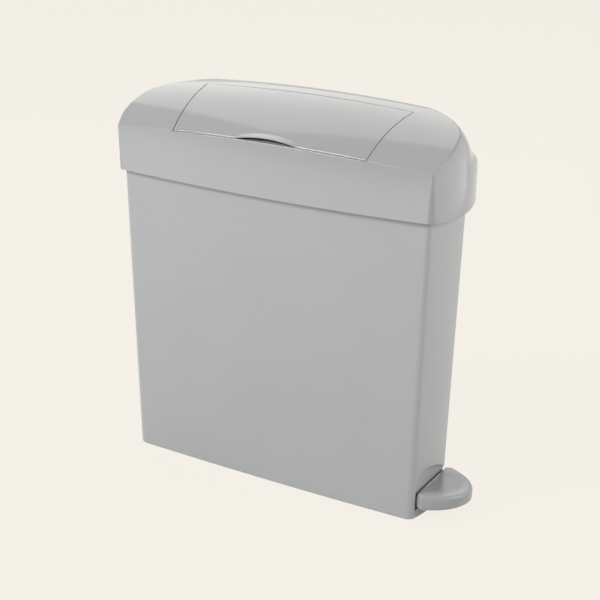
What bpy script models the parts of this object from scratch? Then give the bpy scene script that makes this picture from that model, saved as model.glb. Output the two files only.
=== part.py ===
"""A pedal-operated sanitary container, in metres, +Z up, pedal end at +X, front at -Y.

A tapered tub carries a lift-off hood with a crowned top. A flap in the hood is hinged near the rear.
The pedal turns on a cross pin inside the tub's end wall, lifts an upright rod, and the rod's cap pushes
a short crank on the flap's hinge pin. A tray under the flap swings up with it and screens the contents.
The origin is on the floor, under the middle of the hood.
"""

import math

import bmesh
import bpy
from mathutils import Euler, Matrix, Vector

# Running clearances and overruns
CLEARANCE = 0.0003
RUNNING_CLEARANCE = 0.0003
CUT_OVERRUN = 0.010

# Hood: outline in plan and along its height
HOOD_END_OVERHANG = 0.0051
HOOD_FRONT_OVERHANG = 0.0074
HOOD_END_BULGE = 0.0127
HOOD_SIDE_BOW = 0.0038
HOOD_WALL = 0.003
HOOD_CORNER_LOW = 0.007
HOOD_CORNER_HIGH = 0.0014
LEAST_CORNER = 0.0006
SKIRT_DROP = 0.0294
SKIRT_SAG = 0.0038
BAND_HEIGHT = 0.0626
CREASE_ARCH = 0.0098
CREASE_LEDGE = 0.0015

# Hood: crowned top, as a rise over the crease, and its rounded rear
TOP_CROWN = 0.0125
TOP_RISE = 0.0459
TOP_PEAK_FROM_REAR = 0.018
TOP_FULLNESS_SHARE = 0.42
TOP_FULLNESS_CENTRE_SHARE = 0.45
REAR_ROUND_DROP = 0.011
REAR_ROUND_POWER = 3.0
REAR_ROUND_SPILL = 0.0006

# Hood: ends that curve inwards as they rise
END_CURVE_OVER_CREASE = 0.0088
END_CURVE_RISE = 0.046
END_CURVE_REACH = 0.050
END_CURVE_LAST_SHARE = 0.285
END_TOP_SLOPE_SHARE = 0.2

# The ends sweep forwards towards the rear corner, more so the higher they stand
SWEEP_UNDER_CREASE = 0.0072
SWEEP_RISE = 0.070
SWEEP_REACH = 0.030
SWEEP_POWER = 1.6

# Hood: inner flange that rests on the tub's rim
FLANGE_THICKNESS = 0.003
FLANGE_COVER = 0.001

# Flap and its opening in the hood
FLAP_END_MARGIN = 0.0927
FLAP_SPLAY = 0.0136
FLAP_REAR_MARGIN = 0.037
FLAP_GAP = 0.0012
FLAP_FRONT_GAP = 0.0010
OPENING_LIP_DROP = 0.0004
RIM_LAND = 0.0006
RIM_RELIEF_DEPTH = 0.007
RIM_RELIEF_REACH = 0.009
RIM_RELIEF_START = 0.0002

# Finger recess in the flap's front edge and the brow over it
FINGER_HALF_WIDTH = 0.0465
FINGER_HEIGHT = 0.0068
FINGER_DROP = 0.0010
BROW_HALF_WIDTH = 0.047
BROW_DEPTH = 0.0085
BROW_HEIGHT = 0.0085
BROW_CENTRE_BACK = 0.0155
BROW_CENTRE_RISE = 0.0078

# Tub
TUB_REFERENCE_HEIGHT = 0.430
TUB_HALF_LENGTH_FLOOR = 0.2257
TUB_HALF_LENGTH_GAIN = 0.0092
TUB_FRONT_FLOOR = 0.0565
TUB_FRONT_GAIN = 0.0061
TUB_REAR_FLOOR = 0.0520
TUB_REAR_GAIN = 0.0040
TUB_BULGE = 0.0083
TUB_BOW = 0.0039
TUB_FRONT_CORNER = 0.010
TUB_REAR_CORNER = 0.018
TUB_RIM_HEIGHT = 0.458
TUB_WALL = 0.003
TUB_FLOOR_THICKNESS = 0.003
TUB_BASE_ROUND = 0.003

# Pedal
PEDAL_CENTRE_Y = -0.0015
PEDAL_HALF_WIDTH = 0.046
PEDAL_LENGTH = 0.059
PEDAL_ROOT_GAP = 0.0015
PEDAL_RISE = 0.017
PEDAL_HEIGHT = 0.023
PEDAL_OUTLINE_POWER = 1.8
PEDAL_WALL = 0.003
PEDAL_SIDE_GAP = 0.0012
PEDAL_TRAVEL_DEG = 13.0
PEDAL_RIB_HALF = 0.009
PEDAL_RIB_LENGTH = 0.0325
PEDAL_HOLLOW_DROP = 0.0065

# Pedal bay in the tub's end wall
BAY_DEPTH = 0.024
BAY_WALL_OVER_COVE = 0.008
BAY_SLOT_DROP = 0.008
BAY_SLOT_TOP_GAP = 0.0006
BAY_FRONT_WALL = 0.0045
BAY_POCKET_MARGIN = 0.003
COVE_FROM_CORNER = 0.0023
COVE_RISE = 0.031
COVE_ARCH_SCALE = 0.0565
COVE_ARCH_POWER = 0.25
COVE_ARCH_STEP_POWER = 1.7
COVE_LEAST_RISE = 0.0012
COVE_SPILL = 0.0006
COVE_SIDE_MARGIN = 0.0015

# Pedal pivot
PIVOT_BEHIND_ROOT = 0.0135
PIVOT_RISE = 0.011
PIN_RADIUS = 0.003
PIN_SOCKET_DEPTH = 0.0035
HUB_RADIUS = 0.0067
NECK_DROP = 0.004
NECK_SIDE_INSET = 0.004
HUB_STAND = 0.001
KEEPER_END_GAP = 0.0003

# Pedal arm
ARM_LENGTH = 0.045
ARM_THICKNESS = 0.0037
ARM_WIDTH = 0.012
ARM_NOSE_RADIUS = 0.004
ARM_SCREW_FROM_ROOT = 0.0065
ARM_SCREW_PITCH = 0.014
ARM_END_MARGIN = 0.006
ARM_GROOVE = 0.0006
SCREW_SHANK_RADIUS = 0.002
SCREW_HEAD_RADIUS = 0.0038
SCREW_HEAD_HEIGHT = 0.0022
SCREW_BITE = 0.007

# Push rod
ROD_FROM_HINGE = 0.0095
ROD_RADIUS = 0.003
SHOE_RADIUS = 0.007
CAP_RADIUS = 0.0042
SHOE_HEIGHT = 0.009
SHOE_FLOOR = 0.0025
SHOE_ROUND = 0.001
CAP_ROUND = 0.0004

# Duct for the rod: panel, lid and guide
DUCT_FROM_ROD = 0.0193
DUCT_PANEL_THICKNESS = 0.0025
DUCT_BELOW_RIM = 0.018
DUCT_LID_THICKNESS = 0.003
DUCT_RIB_DEPTH = 0.002
DUCT_RIB_WIDTH = 0.004
DUCT_RIB_SPREAD = 0.030
GUIDE_SHARE = 0.26
GUIDE_PLATE = 0.004
GUIDE_FLANGE = 0.0025
GUIDE_FLANGE_HEIGHT = 0.034
GUIDE_HALF_WIDTH = 0.012
GUIDE_REACH = 0.010
GUIDE_SCREW_RISE = 0.010

# Frame that holds the bag's mouth
BAG_FRAME_BELOW_RIM = 0.030
BAG_FRAME_THICKNESS = 0.006
BAG_FRAME_WIDTH = 0.008

# Flap hinge, crank and tray
HINGE_FROM_REAR = 0.054
HINGE_OVER_CREASE = 0.0308
FLAP_TRAVEL_DEG = 65.0
HINGE_PIN_RADIUS = 0.003
HINGE_BOSS_RADIUS = 0.0065
PIN_HEAD_RADIUS = 0.005
PIN_HEAD_THICKNESS = 0.0015
TRAY_CHEEK_FROM_BRACKET = 0.018
TRAY_CHEEK_THICKNESS = 0.0025
LUG_THICKNESS = 0.004
LUG_HALF_WIDTH = 0.011
BRACKET_CRANK_GAP = 0.0022
BRACKET_THICKNESS = 0.004
BRACKET_HALF_WIDTH = 0.012
CRANK_THICKNESS = 0.005
CRANK_HUB_RADIUS = 0.005
CRANK_NOSE_RADIUS = 0.003
TRAY_SHEET = 0.0022
TRAY_LENGTH = 0.076
TRAY_BACK = 0.013
TRAY_TOP_DROP = 0.004
TRAY_SCREW_BACK = 0.0055
TRAY_SCREW_RISE = 0.0068
TRAY_SCREW_SHANK = 0.0014
TRAY_SCREW_HEAD = 0.0026
TRAY_SCREW_HEAD_HEIGHT = 0.0016

# Resolution of the curves
SIDE_STEPS = 8
END_STEPS = 8
CORNER_STEPS = 4
SECTION_STEPS = 10
REAR_STEPS = 6
ROUND_STEPS = 20
NOSE_STEPS = 12

# Sizes that follow from the ones above
HOOD_HALF_LENGTH = TUB_HALF_LENGTH_FLOOR + TUB_HALF_LENGTH_GAIN + HOOD_END_OVERHANG
HOOD_HALF_DEPTH = TUB_FRONT_FLOOR + TUB_FRONT_GAIN + HOOD_FRONT_OVERHANG
SKIRT_BOTTOM = TUB_RIM_HEIGHT - SKIRT_DROP
CREASE_HEIGHT = SKIRT_BOTTOM + BAND_HEIGHT
END_CURVE_START = CREASE_HEIGHT + END_CURVE_OVER_CREASE
SWEEP_START = CREASE_HEIGHT - SWEEP_UNDER_CREASE
TOP_PEAK_Y = HOOD_HALF_DEPTH - TOP_PEAK_FROM_REAR
FLAP_FRONT_HALF = HOOD_HALF_LENGTH - FLAP_END_MARGIN
FLAP_REAR_HALF = FLAP_FRONT_HALF + FLAP_SPLAY
FLAP_REAR_Y = HOOD_HALF_DEPTH - FLAP_REAR_MARGIN
HINGE_Y = HOOD_HALF_DEPTH - HINGE_FROM_REAR
HINGE_Z = CREASE_HEIGHT + HINGE_OVER_CREASE
COVE_X = TUB_HALF_LENGTH_FLOOR + COVE_FROM_CORNER
PEDAL_ROOT_X = COVE_X + PEDAL_ROOT_GAP
PEDAL_BOTTOM = PEDAL_RISE
PEDAL_TOP = PEDAL_BOTTOM + PEDAL_HEIGHT
PEDAL_HOLLOW_TOP = PEDAL_TOP - PEDAL_HOLLOW_DROP
PEDAL_RIB_END_X = PEDAL_ROOT_X + PEDAL_RIB_LENGTH
NECK_TOP = PEDAL_TOP - NECK_DROP
PIVOT_X = PEDAL_ROOT_X - PIVOT_BEHIND_ROOT
PIVOT_Z = PEDAL_BOTTOM + PIVOT_RISE
BAY_INNER_X = COVE_X - BAY_DEPTH
BAY_POCKET_X = COVE_X - BAY_FRONT_WALL
BAY_TOP = PEDAL_TOP + COVE_RISE + BAY_WALL_OVER_COVE
BAY_SLOT_BOTTOM = PEDAL_BOTTOM - BAY_SLOT_DROP
ARM_SCREW_X = PEDAL_ROOT_X + ARM_SCREW_FROM_ROOT
ROD_Y = HINGE_Y - ROD_FROM_HINGE
DUCT_TOP = TUB_RIM_HEIGHT - DUCT_BELOW_RIM
BAG_FRAME_BOTTOM = TUB_RIM_HEIGHT - BAG_FRAME_BELOW_RIM
GUIDE_HEIGHT = TUB_RIM_HEIGHT * GUIDE_SHARE
SLOT_FRONT_Y = PEDAL_CENTRE_Y - PEDAL_HALF_WIDTH - PEDAL_SIDE_GAP
SLOT_REAR_Y = PEDAL_CENTRE_Y + PEDAL_HALF_WIDTH + PEDAL_SIDE_GAP
ROD_X = PIVOT_X - ARM_LENGTH * math.cos(math.radians(PEDAL_TRAVEL_DEG / 2))
ROD_LIFT = 2 * ARM_LENGTH * math.sin(math.radians(PEDAL_TRAVEL_DEG / 2))
ARM_NOSE_Z = PIVOT_Z - ROD_LIFT / 2
DUCT_X = ROD_X - DUCT_FROM_ROD
BRACKET_X = ROD_X - CRANK_THICKNESS / 2 - BRACKET_CRANK_GAP - BRACKET_THICKNESS
TRAY_CHEEK_X = BRACKET_X - TRAY_CHEEK_FROM_BRACKET
CRANK_REACH = ROD_LIFT / (2 * math.sin(math.radians(FLAP_TRAVEL_DEG / 2)))
CRANK_NOSE_Y = HINGE_Y - CRANK_REACH * math.cos(math.radians(FLAP_TRAVEL_DEG / 2))
CRANK_NOSE_Z = HINGE_Z - ROD_LIFT / 2
SHOE_BOTTOM = ARM_NOSE_Z + ARM_NOSE_RADIUS + CLEARANCE
CAP_TOP = CRANK_NOSE_Z - CRANK_NOSE_RADIUS - CLEARANCE
FLANGE_BOTTOM = TUB_RIM_HEIGHT + CLEARANCE
FLANGE_TOP = FLANGE_BOTTOM + FLANGE_THICKNESS
ARM_TOP = PIVOT_Z - HUB_RADIUS - 2 * CLEARANCE
ARM_SEAT = ARM_TOP + CLEARANCE - ARM_GROOVE

QUARTER = math.pi / 2
FACE_SIDE = Euler((QUARTER, 0, QUARTER))
FACE_FRONT = Euler((QUARTER, 0, 0))
ALONG_X = Euler((0, QUARTER, 0))
ALONG_Y = Euler((-QUARTER, 0, 0))


def clear_scene():
    for old in list(bpy.data.objects):
        bpy.data.objects.remove(old, do_unlink=True)


def new_collection(name):
    collection = bpy.data.collections.new(name)
    bpy.context.scene.collection.children.link(collection)
    return collection


def new_material(name, colour, roughness, metallic=0.0):
    material = bpy.data.materials.new(name)
    material.use_nodes = True
    shader = material.node_tree.nodes["Principled BSDF"]
    shader.inputs["Base Color"].default_value = (*colour, 1.0)
    shader.inputs["Roughness"].default_value = roughness
    shader.inputs["Metallic"].default_value = metallic
    return material


clear_scene()
PIECES = new_collection("sanitary_container")
CUTTERS = new_collection("cutters")
GREY_PLASTIC = new_material("grey_plastic", (0.44, 0.45, 0.44), 0.38)
PEDAL_PLASTIC = new_material("pedal_plastic", (0.34, 0.36, 0.35), 0.42)
INNER_PLASTIC = new_material("inner_plastic", (0.30, 0.31, 0.31), 0.5)
STEEL = new_material("steel", (0.6, 0.6, 0.61), 0.3, 1.0)


def add_object(name, data, collection, material=None):
    made = bpy.data.objects.new(name, data)
    collection.objects.link(made)
    if material is not None:
        made.data.materials.append(material)
    if collection is CUTTERS:
        made.hide_render = True
        made.display_type = "WIRE"
    return made


def loft(name, rings, collection=CUTTERS, material=None):
    """A closed solid through rings of points, all with the same count, closed by a cap at each end."""
    count = len(rings[0])
    points = [point for ring in rings for point in ring]
    faces = []
    for level in range(len(rings) - 1):
        low = level * count
        high = low + count
        for i in range(count):
            j = (i + 1) % count
            faces.append((low + i, low + j, high + j, high + i))
    faces.append(tuple(range(count)))
    faces.append(tuple(range(len(points) - count, len(points))))
    mesh = bpy.data.meshes.new(name)
    mesh.from_pydata(points, [], faces)
    work = bmesh.new()
    work.from_mesh(mesh)
    bmesh.ops.recalc_face_normals(work, faces=work.faces)
    work.to_mesh(mesh)
    work.free()
    return add_object(name, mesh, collection, material)


def box(name, low, high, collection=CUTTERS, material=None):
    """A box between two corners."""
    work = bmesh.new()
    bmesh.ops.create_cube(work, size=1.0)
    size = Vector(high) - Vector(low)
    bmesh.ops.scale(work, vec=size, verts=work.verts)
    mesh = bpy.data.meshes.new(name)
    work.to_mesh(mesh)
    work.free()
    made = add_object(name, mesh, collection, material)
    made.location = (Vector(low) + Vector(high)) / 2
    return made


def cylinder(name, radius, base, height, turn, collection=CUTTERS, material=None, steps=ROUND_STEPS):
    """A cylinder from its base point along its own Z, which turn points elsewhere."""
    work = bmesh.new()
    bmesh.ops.create_cone(work, cap_ends=True, segments=steps, radius1=radius, radius2=radius, depth=height)
    bmesh.ops.translate(work, vec=(0, 0, height / 2), verts=work.verts)
    mesh = bpy.data.meshes.new(name)
    work.to_mesh(mesh)
    work.free()
    made = add_object(name, mesh, collection, material)
    made.rotation_euler = turn
    made.location = base
    return made


def ellipsoid(name, centre, half_sizes):
    """An ellipsoid cutter from a sphere."""
    work = bmesh.new()
    bmesh.ops.create_uvsphere(work, u_segments=24, v_segments=12, radius=1.0)
    bmesh.ops.scale(work, vec=half_sizes, verts=work.verts)
    mesh = bpy.data.meshes.new(name)
    work.to_mesh(mesh)
    work.free()
    made = add_object(name, mesh, CUTTERS)
    made.location = centre
    return made


def turned(name, profile, base, turn, material):
    """A turned solid: the profile's (radius, height) points run down its outer side."""
    mesh = bpy.data.meshes.new(name)
    edges = [(i, i + 1) for i in range(len(profile) - 1)]
    mesh.from_pydata([(radius, 0, height) for radius, height in profile], edges, [])
    made = add_object(name, mesh, PIECES, material)
    made.rotation_euler = turn
    made.location = base
    screw = made.modifiers.new("turn", "SCREW")
    screw.steps = ROUND_STEPS
    screw.render_steps = ROUND_STEPS
    screw.use_merge_vertices = True
    screw.merge_threshold = 0.00001
    screw.use_smooth_shade = True
    return made


def plate(name, outline, holes, base, turn, thickness, collection=PIECES, material=None):
    """A flat outline with round holes, extruded to a thickness that is centred on its base point."""
    curve = bpy.data.curves.new(name, "CURVE")
    curve.dimensions = "2D"
    curve.fill_mode = "BOTH"
    curve.extrude = thickness / 2
    rings = [outline] + [circle_points(x, y, radius, NOSE_STEPS) for x, y, radius in holes]
    for ring in rings:
        spline = curve.splines.new("POLY")
        spline.points.add(len(ring) - 1)
        for point, (x, y) in zip(spline.points, ring):
            point.co = (x, y, 0, 1)
        spline.use_cyclic_u = True
    made = add_object(name, curve, collection, material)
    made.rotation_euler = turn
    made.location = base
    return made


def to_mesh_object(made):
    """The same piece as a mesh, with its caps welded, so that it can be cut or joined."""
    name = made.name
    collection = made.users_collection[0]
    bpy.context.view_layer.update()
    graph = bpy.context.evaluated_depsgraph_get()
    mesh = bpy.data.meshes.new_from_object(made.evaluated_get(graph))
    work = bmesh.new()
    work.from_mesh(mesh)
    bmesh.ops.remove_doubles(work, verts=work.verts, dist=0.000001)
    bmesh.ops.recalc_face_normals(work, faces=work.faces)
    work.to_mesh(mesh)
    work.free()
    world = made.matrix_world.copy()
    bpy.data.objects.remove(made, do_unlink=True)
    again = bpy.data.objects.new(name, mesh)
    collection.objects.link(again)
    again.matrix_world = world
    if collection is CUTTERS:
        again.hide_render = True
        again.display_type = "WIRE"
    return again


def combine(target, other, operation):
    modifier = target.modifiers.new(operation.lower(), "BOOLEAN")
    modifier.operation = operation
    modifier.solver = "EXACT"
    modifier.object = other
    return modifier


def cut(target, *others):
    for other in others:
        combine(target, other, "DIFFERENCE")


def keep(target, *others):
    for other in others:
        combine(target, other, "INTERSECT")


def join(target, *others):
    for other in others:
        combine(target, other, "UNION")


def circle_points(x, y, radius, steps, start=0.0, turn=2 * math.pi):
    """Points around a circle, or along an arc when turn is less than a full one."""
    last = steps if turn >= 2 * math.pi else steps + 1
    angles = [start + turn * i / steps for i in range(last)]
    return [(x + radius * math.cos(a), y + radius * math.sin(a)) for a in angles]


def steps_between(start, end, steps):
    """The points between two ends, without the ends."""
    return [tuple(Vector(start).lerp(Vector(end), i / steps)) for i in range(1, steps)]


def plan_outline(half_length, front, rear, front_radius, rear_radius, bulge, bow):
    """A rounded rectangle in plan whose ends bulge and whose long sides bow outwards."""
    near = half_length - front_radius
    far = half_length - rear_radius
    low = front + front_radius
    high = rear - rear_radius
    points = circle_points(near, low, front_radius, CORNER_STEPS, -QUARTER, QUARTER)
    points += steps_between((half_length, low), (half_length, high), END_STEPS)
    points += circle_points(far, high, rear_radius, CORNER_STEPS, 0.0, QUARTER)
    points += steps_between((far, rear), (-far, rear), SIDE_STEPS)
    points += circle_points(-far, high, rear_radius, CORNER_STEPS, QUARTER, QUARTER)
    points += steps_between((-half_length, high), (-half_length, low), END_STEPS)
    points += circle_points(-near, low, front_radius, CORNER_STEPS, math.pi, QUARTER)
    points += steps_between((-near, front), (near, front), SIDE_STEPS)
    middle = (front + rear) / 2
    half_depth = (rear - front) / 2
    swollen = []
    for x, y in points:
        along = x / half_length
        across = (y - middle) / half_depth
        swollen.append((x + along * bulge * (1 - across**2), y + across * bow * (1 - along**2)))
    return swollen


def hood_arch(x):
    """How far the crowned shapes of the hood stand at x: 1 in the middle, 0 at the corners."""
    return 1 - (x / HOOD_HALF_LENGTH) ** 2


def crease_height(x):
    return CREASE_HEIGHT + CREASE_ARCH * hood_arch(x)


def hood_front(x):
    return -HOOD_HALF_DEPTH - HOOD_SIDE_BOW * hood_arch(x)


def top_share(t):
    """The top's rise as a share, from 0 at the crease to 1 at the peak, for t from 0 to 1."""
    fullness = TOP_FULLNESS_SHARE * t * (1 - t) * (TOP_FULLNESS_CENTRE_SHARE - t)
    return 1 - (1 - t) ** 2 + fullness


def top_height(x, y):
    """Height of the hood's outer top in front of its peak."""
    start = hood_front(x) + CREASE_LEDGE
    t = (y - start) / (TOP_PEAK_Y - start)
    crown = CREASE_ARCH + (TOP_CROWN - CREASE_ARCH) * t
    return CREASE_HEIGHT + crown * hood_arch(x) + TOP_RISE * top_share(t)


def under_top(x, y):
    """Height of the hood's inner top in front of its peak."""
    probe = HOOD_WALL
    slope = (top_height(x, y + probe) - top_height(x, y - probe)) / (2 * probe)
    return top_height(x, y) - HOOD_WALL * math.hypot(1, slope)


def hood_section(x, inset, bottom):
    """Points (x, y, z) of the hood's section across its depth at x, outer or set in by its wall."""
    outside = HOOD_HALF_DEPTH + HOOD_SIDE_BOW + CUT_OVERRUN
    start = hood_front(x) + CREASE_LEDGE
    height = under_top if inset else top_height
    crease = height(x, start)
    points = [(-outside, bottom), (-outside, crease)]
    for i in range(SECTION_STEPS + 1):
        y = start + (TOP_PEAK_Y - start) * i / SECTION_STEPS
        points.append((y, height(x, y)))
    peak = height(x, TOP_PEAK_Y)
    reach = -hood_front(x) + REAR_ROUND_SPILL - inset - TOP_PEAK_Y
    drop = REAR_ROUND_DROP - inset
    for i in range(1, REAR_STEPS + 1):
        share = math.sin(QUARTER * i / REAR_STEPS)
        fall = 1 - (1 - share**REAR_ROUND_POWER) ** (1 / REAR_ROUND_POWER)
        points.append((TOP_PEAK_Y + reach * share, peak - drop * fall))
    points.append((TOP_PEAK_Y + reach, bottom))
    return [(x, y, z) for y, z in points]


def skirt_bottom(x):
    return SKIRT_BOTTOM - SKIRT_SAG * max(hood_arch(x), 0)


def hood_top_solid(name, inset, follow_skirt):
    """The hood's crowned top as sections strung along X, running past both ends."""
    past = HOOD_HALF_LENGTH + HOOD_END_BULGE + CUT_OVERRUN
    stations = [past * i / SIDE_STEPS for i in range(-SIDE_STEPS, SIDE_STEPS + 1)]
    rings = []
    for x in stations:
        bottom = skirt_bottom(x) if follow_skirt else SKIRT_BOTTOM - CUT_OVERRUN
        rings.append(hood_section(x, inset, bottom))
    return loft(name, rings)


def end_inset(z):
    """How far the hood's ends have curved inwards at a height."""
    if z <= END_CURVE_START:
        return 0.0
    share = math.sqrt(1 - ((z - END_CURVE_START) / END_CURVE_RISE) ** 2)
    return END_CURVE_REACH * (1 - share)


def end_sweep(y, z):
    """How far the hood's ends are also drawn in behind their middle, at y and z."""
    rise = min(max((z - SWEEP_START) / SWEEP_RISE, 0), 1)
    back = max(y / HOOD_HALF_DEPTH, 0)
    return SWEEP_REACH * (1 - (1 - rise) ** 2) * back**SWEEP_POWER


def hood_plan(z, inset, set_in_end):
    """The hood's outline in plan at a height, its ends drawn in by set_in_end."""
    share = min(max((z - SKIRT_BOTTOM) / (CREASE_HEIGHT - SKIRT_BOTTOM), 0), 1)
    radius = HOOD_CORNER_LOW + (HOOD_CORNER_HIGH - HOOD_CORNER_LOW) * share
    radius = max(radius - inset, LEAST_CORNER)
    outline = plan_outline(
        HOOD_HALF_LENGTH - inset - set_in_end,
        -HOOD_HALF_DEPTH + inset,
        HOOD_HALF_DEPTH - inset,
        radius,
        radius,
        HOOD_END_BULGE,
        HOOD_SIDE_BOW,
    )
    swept = []
    for x, y in outline:
        across = min(abs(y) / HOOD_HALF_DEPTH, 1)
        reach = HOOD_HALF_LENGTH - set_in_end + HOOD_END_BULGE * (1 - across**2)
        swept.append((x * (1 - end_sweep(y, z) / reach), y, z))
    return swept


def hood_plan_solid(name, inset, bottom, collection=CUTTERS, material=None):
    """The hood's outline in plan strung along Z, with ends that curve in over the crease."""
    heights = [bottom, SWEEP_START, CREASE_HEIGHT, END_CURVE_START]
    rings = [hood_plan(z, inset, 0.0) for z in heights]
    last_angle = math.acos(END_CURVE_LAST_SHARE)
    for i in range(1, SECTION_STEPS - 1):
        angle = last_angle * i / (SECTION_STEPS - 2)
        z = END_CURVE_START + END_CURVE_RISE * math.sin(angle)
        rings.append(hood_plan(z, inset, end_inset(z)))
    top = CREASE_HEIGHT + TOP_CROWN + TOP_RISE + CUT_OVERRUN
    rise = top - z
    rings.append(hood_plan(top, inset, end_inset(z) + rise / END_TOP_SLOPE_SHARE))
    return loft(name, rings, collection, material)


def tub_outline(z, inset):
    """The tub's outline in plan at a height, set in from its outer face."""
    share = z / TUB_REFERENCE_HEIGHT
    outline = plan_outline(
        TUB_HALF_LENGTH_FLOOR + TUB_HALF_LENGTH_GAIN * share - inset,
        -TUB_FRONT_FLOOR - TUB_FRONT_GAIN * share + inset,
        TUB_REAR_FLOOR + TUB_REAR_GAIN * share - inset,
        TUB_FRONT_CORNER - min(inset, TUB_WALL),
        TUB_REAR_CORNER - min(inset, TUB_WALL),
        TUB_BULGE,
        TUB_BOW,
    )
    return [(x, y, z) for x, y in outline]


def tub_side(x, z, inset, side):
    """Y of the tub's front (side -1) or rear (side 1) wall at x and z, set in from its outer face."""
    share = z / TUB_REFERENCE_HEIGHT
    half_length = TUB_HALF_LENGTH_FLOOR + TUB_HALF_LENGTH_GAIN * share - inset
    bow = TUB_BOW * (1 - (x / half_length) ** 2)
    if side < 0:
        return -TUB_FRONT_FLOOR - TUB_FRONT_GAIN * share + inset - bow
    return TUB_REAR_FLOOR + TUB_REAR_GAIN * share - inset + bow


def flap_edge(y, gap):
    """Half-length of the flap, or of its opening with a gap, at y."""
    front = -HOOD_HALF_DEPTH
    gain = (FLAP_REAR_HALF - FLAP_FRONT_HALF) * (y - front) / (FLAP_REAR_Y - front)
    return FLAP_FRONT_HALF + gain + gap


def flap_prism(name, gap, lift):
    """An upright prism with the flap's outline in plan, whose underside follows the crease."""
    front = -HOOD_HALF_DEPTH - HOOD_SIDE_BOW - CUT_OVERRUN
    rear = FLAP_REAR_Y + gap
    top = CREASE_HEIGHT + TOP_CROWN + TOP_RISE + CUT_OVERRUN
    rings = []
    for i in range(-SIDE_STEPS, SIDE_STEPS + 1):
        share = i / SIDE_STEPS
        near = share * flap_edge(front, gap)
        far = share * flap_edge(rear, gap)
        low = crease_height(share * FLAP_FRONT_HALF) + lift
        rings.append([(near, front, low), (far, rear, low), (far, rear, top), (near, front, top)])
    return loft(name, rings)


def hood_cavity():
    """The space under the hood's top, above its flange."""
    cavity = hood_plan_solid("hood_cavity", HOOD_WALL, FLANGE_TOP)
    keep(cavity, hood_top_solid("hood_top_inner", HOOD_WALL, False))
    return cavity


def rim_relief():
    """A wedge under the rim behind the flap, so that the flap's rear edge swings past it."""
    land_y = FLAP_REAR_Y + FLAP_GAP
    near = land_y - RIM_RELIEF_START
    far = land_y + RIM_RELIEF_REACH
    half = FLAP_REAR_HALF + 2 * FLAP_GAP
    rings = []
    for i in range(-SIDE_STEPS, SIDE_STEPS + 1):
        x = half * i / SIDE_STEPS
        top = top_height(x, land_y) - RIM_LAND
        low = top - RIM_RELIEF_DEPTH
        rings.append([(x, near, top), (x, far, low), (x, near, low)])
    return loft("rim_relief", rings)


def make_hood(cavity, top):
    """The hood: skirt, crowned top with its flap opening, and the flange that rests on the tub."""
    hood = hood_plan_solid("hood_cover", 0.0, SKIRT_BOTTOM - CUT_OVERRUN, PIECES, GREY_PLASTIC)
    low = SKIRT_BOTTOM - 2 * CUT_OVERRUN
    socket = [hood_plan(low, HOOD_WALL, 0.0), hood_plan(FLANGE_BOTTOM, HOOD_WALL, 0.0)]
    mouth_inset = TUB_WALL + FLANGE_COVER
    mouth = []
    for z in (FLANGE_BOTTOM - CUT_OVERRUN, FLANGE_TOP + CUT_OVERRUN):
        mouth.append([(x, y, z) for x, y, _ in tub_outline(TUB_RIM_HEIGHT, mouth_inset)])
    keep(hood, top)
    cut(hood, cavity, loft("hood_socket", socket), loft("hood_mouth", mouth))
    cut(hood, flap_prism("flap_opening", FLAP_GAP, -OPENING_LIP_DROP), rim_relief())
    return hood


def finger_cutter():
    """A shallow arch across the flap's front edge, cut by a large cylinder lying along Y."""
    sagitta = FINGER_HEIGHT + FINGER_DROP
    radius = (FINGER_HALF_WIDTH**2 + sagitta**2) / (2 * sagitta)
    centre_z = crease_height(0) + FINGER_HEIGHT - radius
    start = -HOOD_HALF_DEPTH - HOOD_SIDE_BOW - CUT_OVERRUN
    base = (0, start, centre_z)
    length = 2 * HOOD_HALF_DEPTH
    made = cylinder("finger_arch", radius, base, length / 2, ALONG_Y, steps=8 * ROUND_STEPS)
    return made


def make_flap(cavity, top):
    """The flap: the piece of the hood's top inside the opening, with its brow and finger recess."""
    flap = hood_plan_solid("flap_panel", 0.0, SKIRT_BOTTOM, PIECES, GREY_PLASTIC)
    keep(flap, top, flap_prism("flap_outline", 0.0, FLAP_FRONT_GAP))
    centre = (0, hood_front(0) + BROW_CENTRE_BACK, crease_height(0) + BROW_CENTRE_RISE)
    brow = ellipsoid("flap_brow", centre, (BROW_HALF_WIDTH, BROW_DEPTH, BROW_HEIGHT))
    join(flap, brow)
    cut(flap, cavity, finger_cutter())
    return flap


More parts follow.
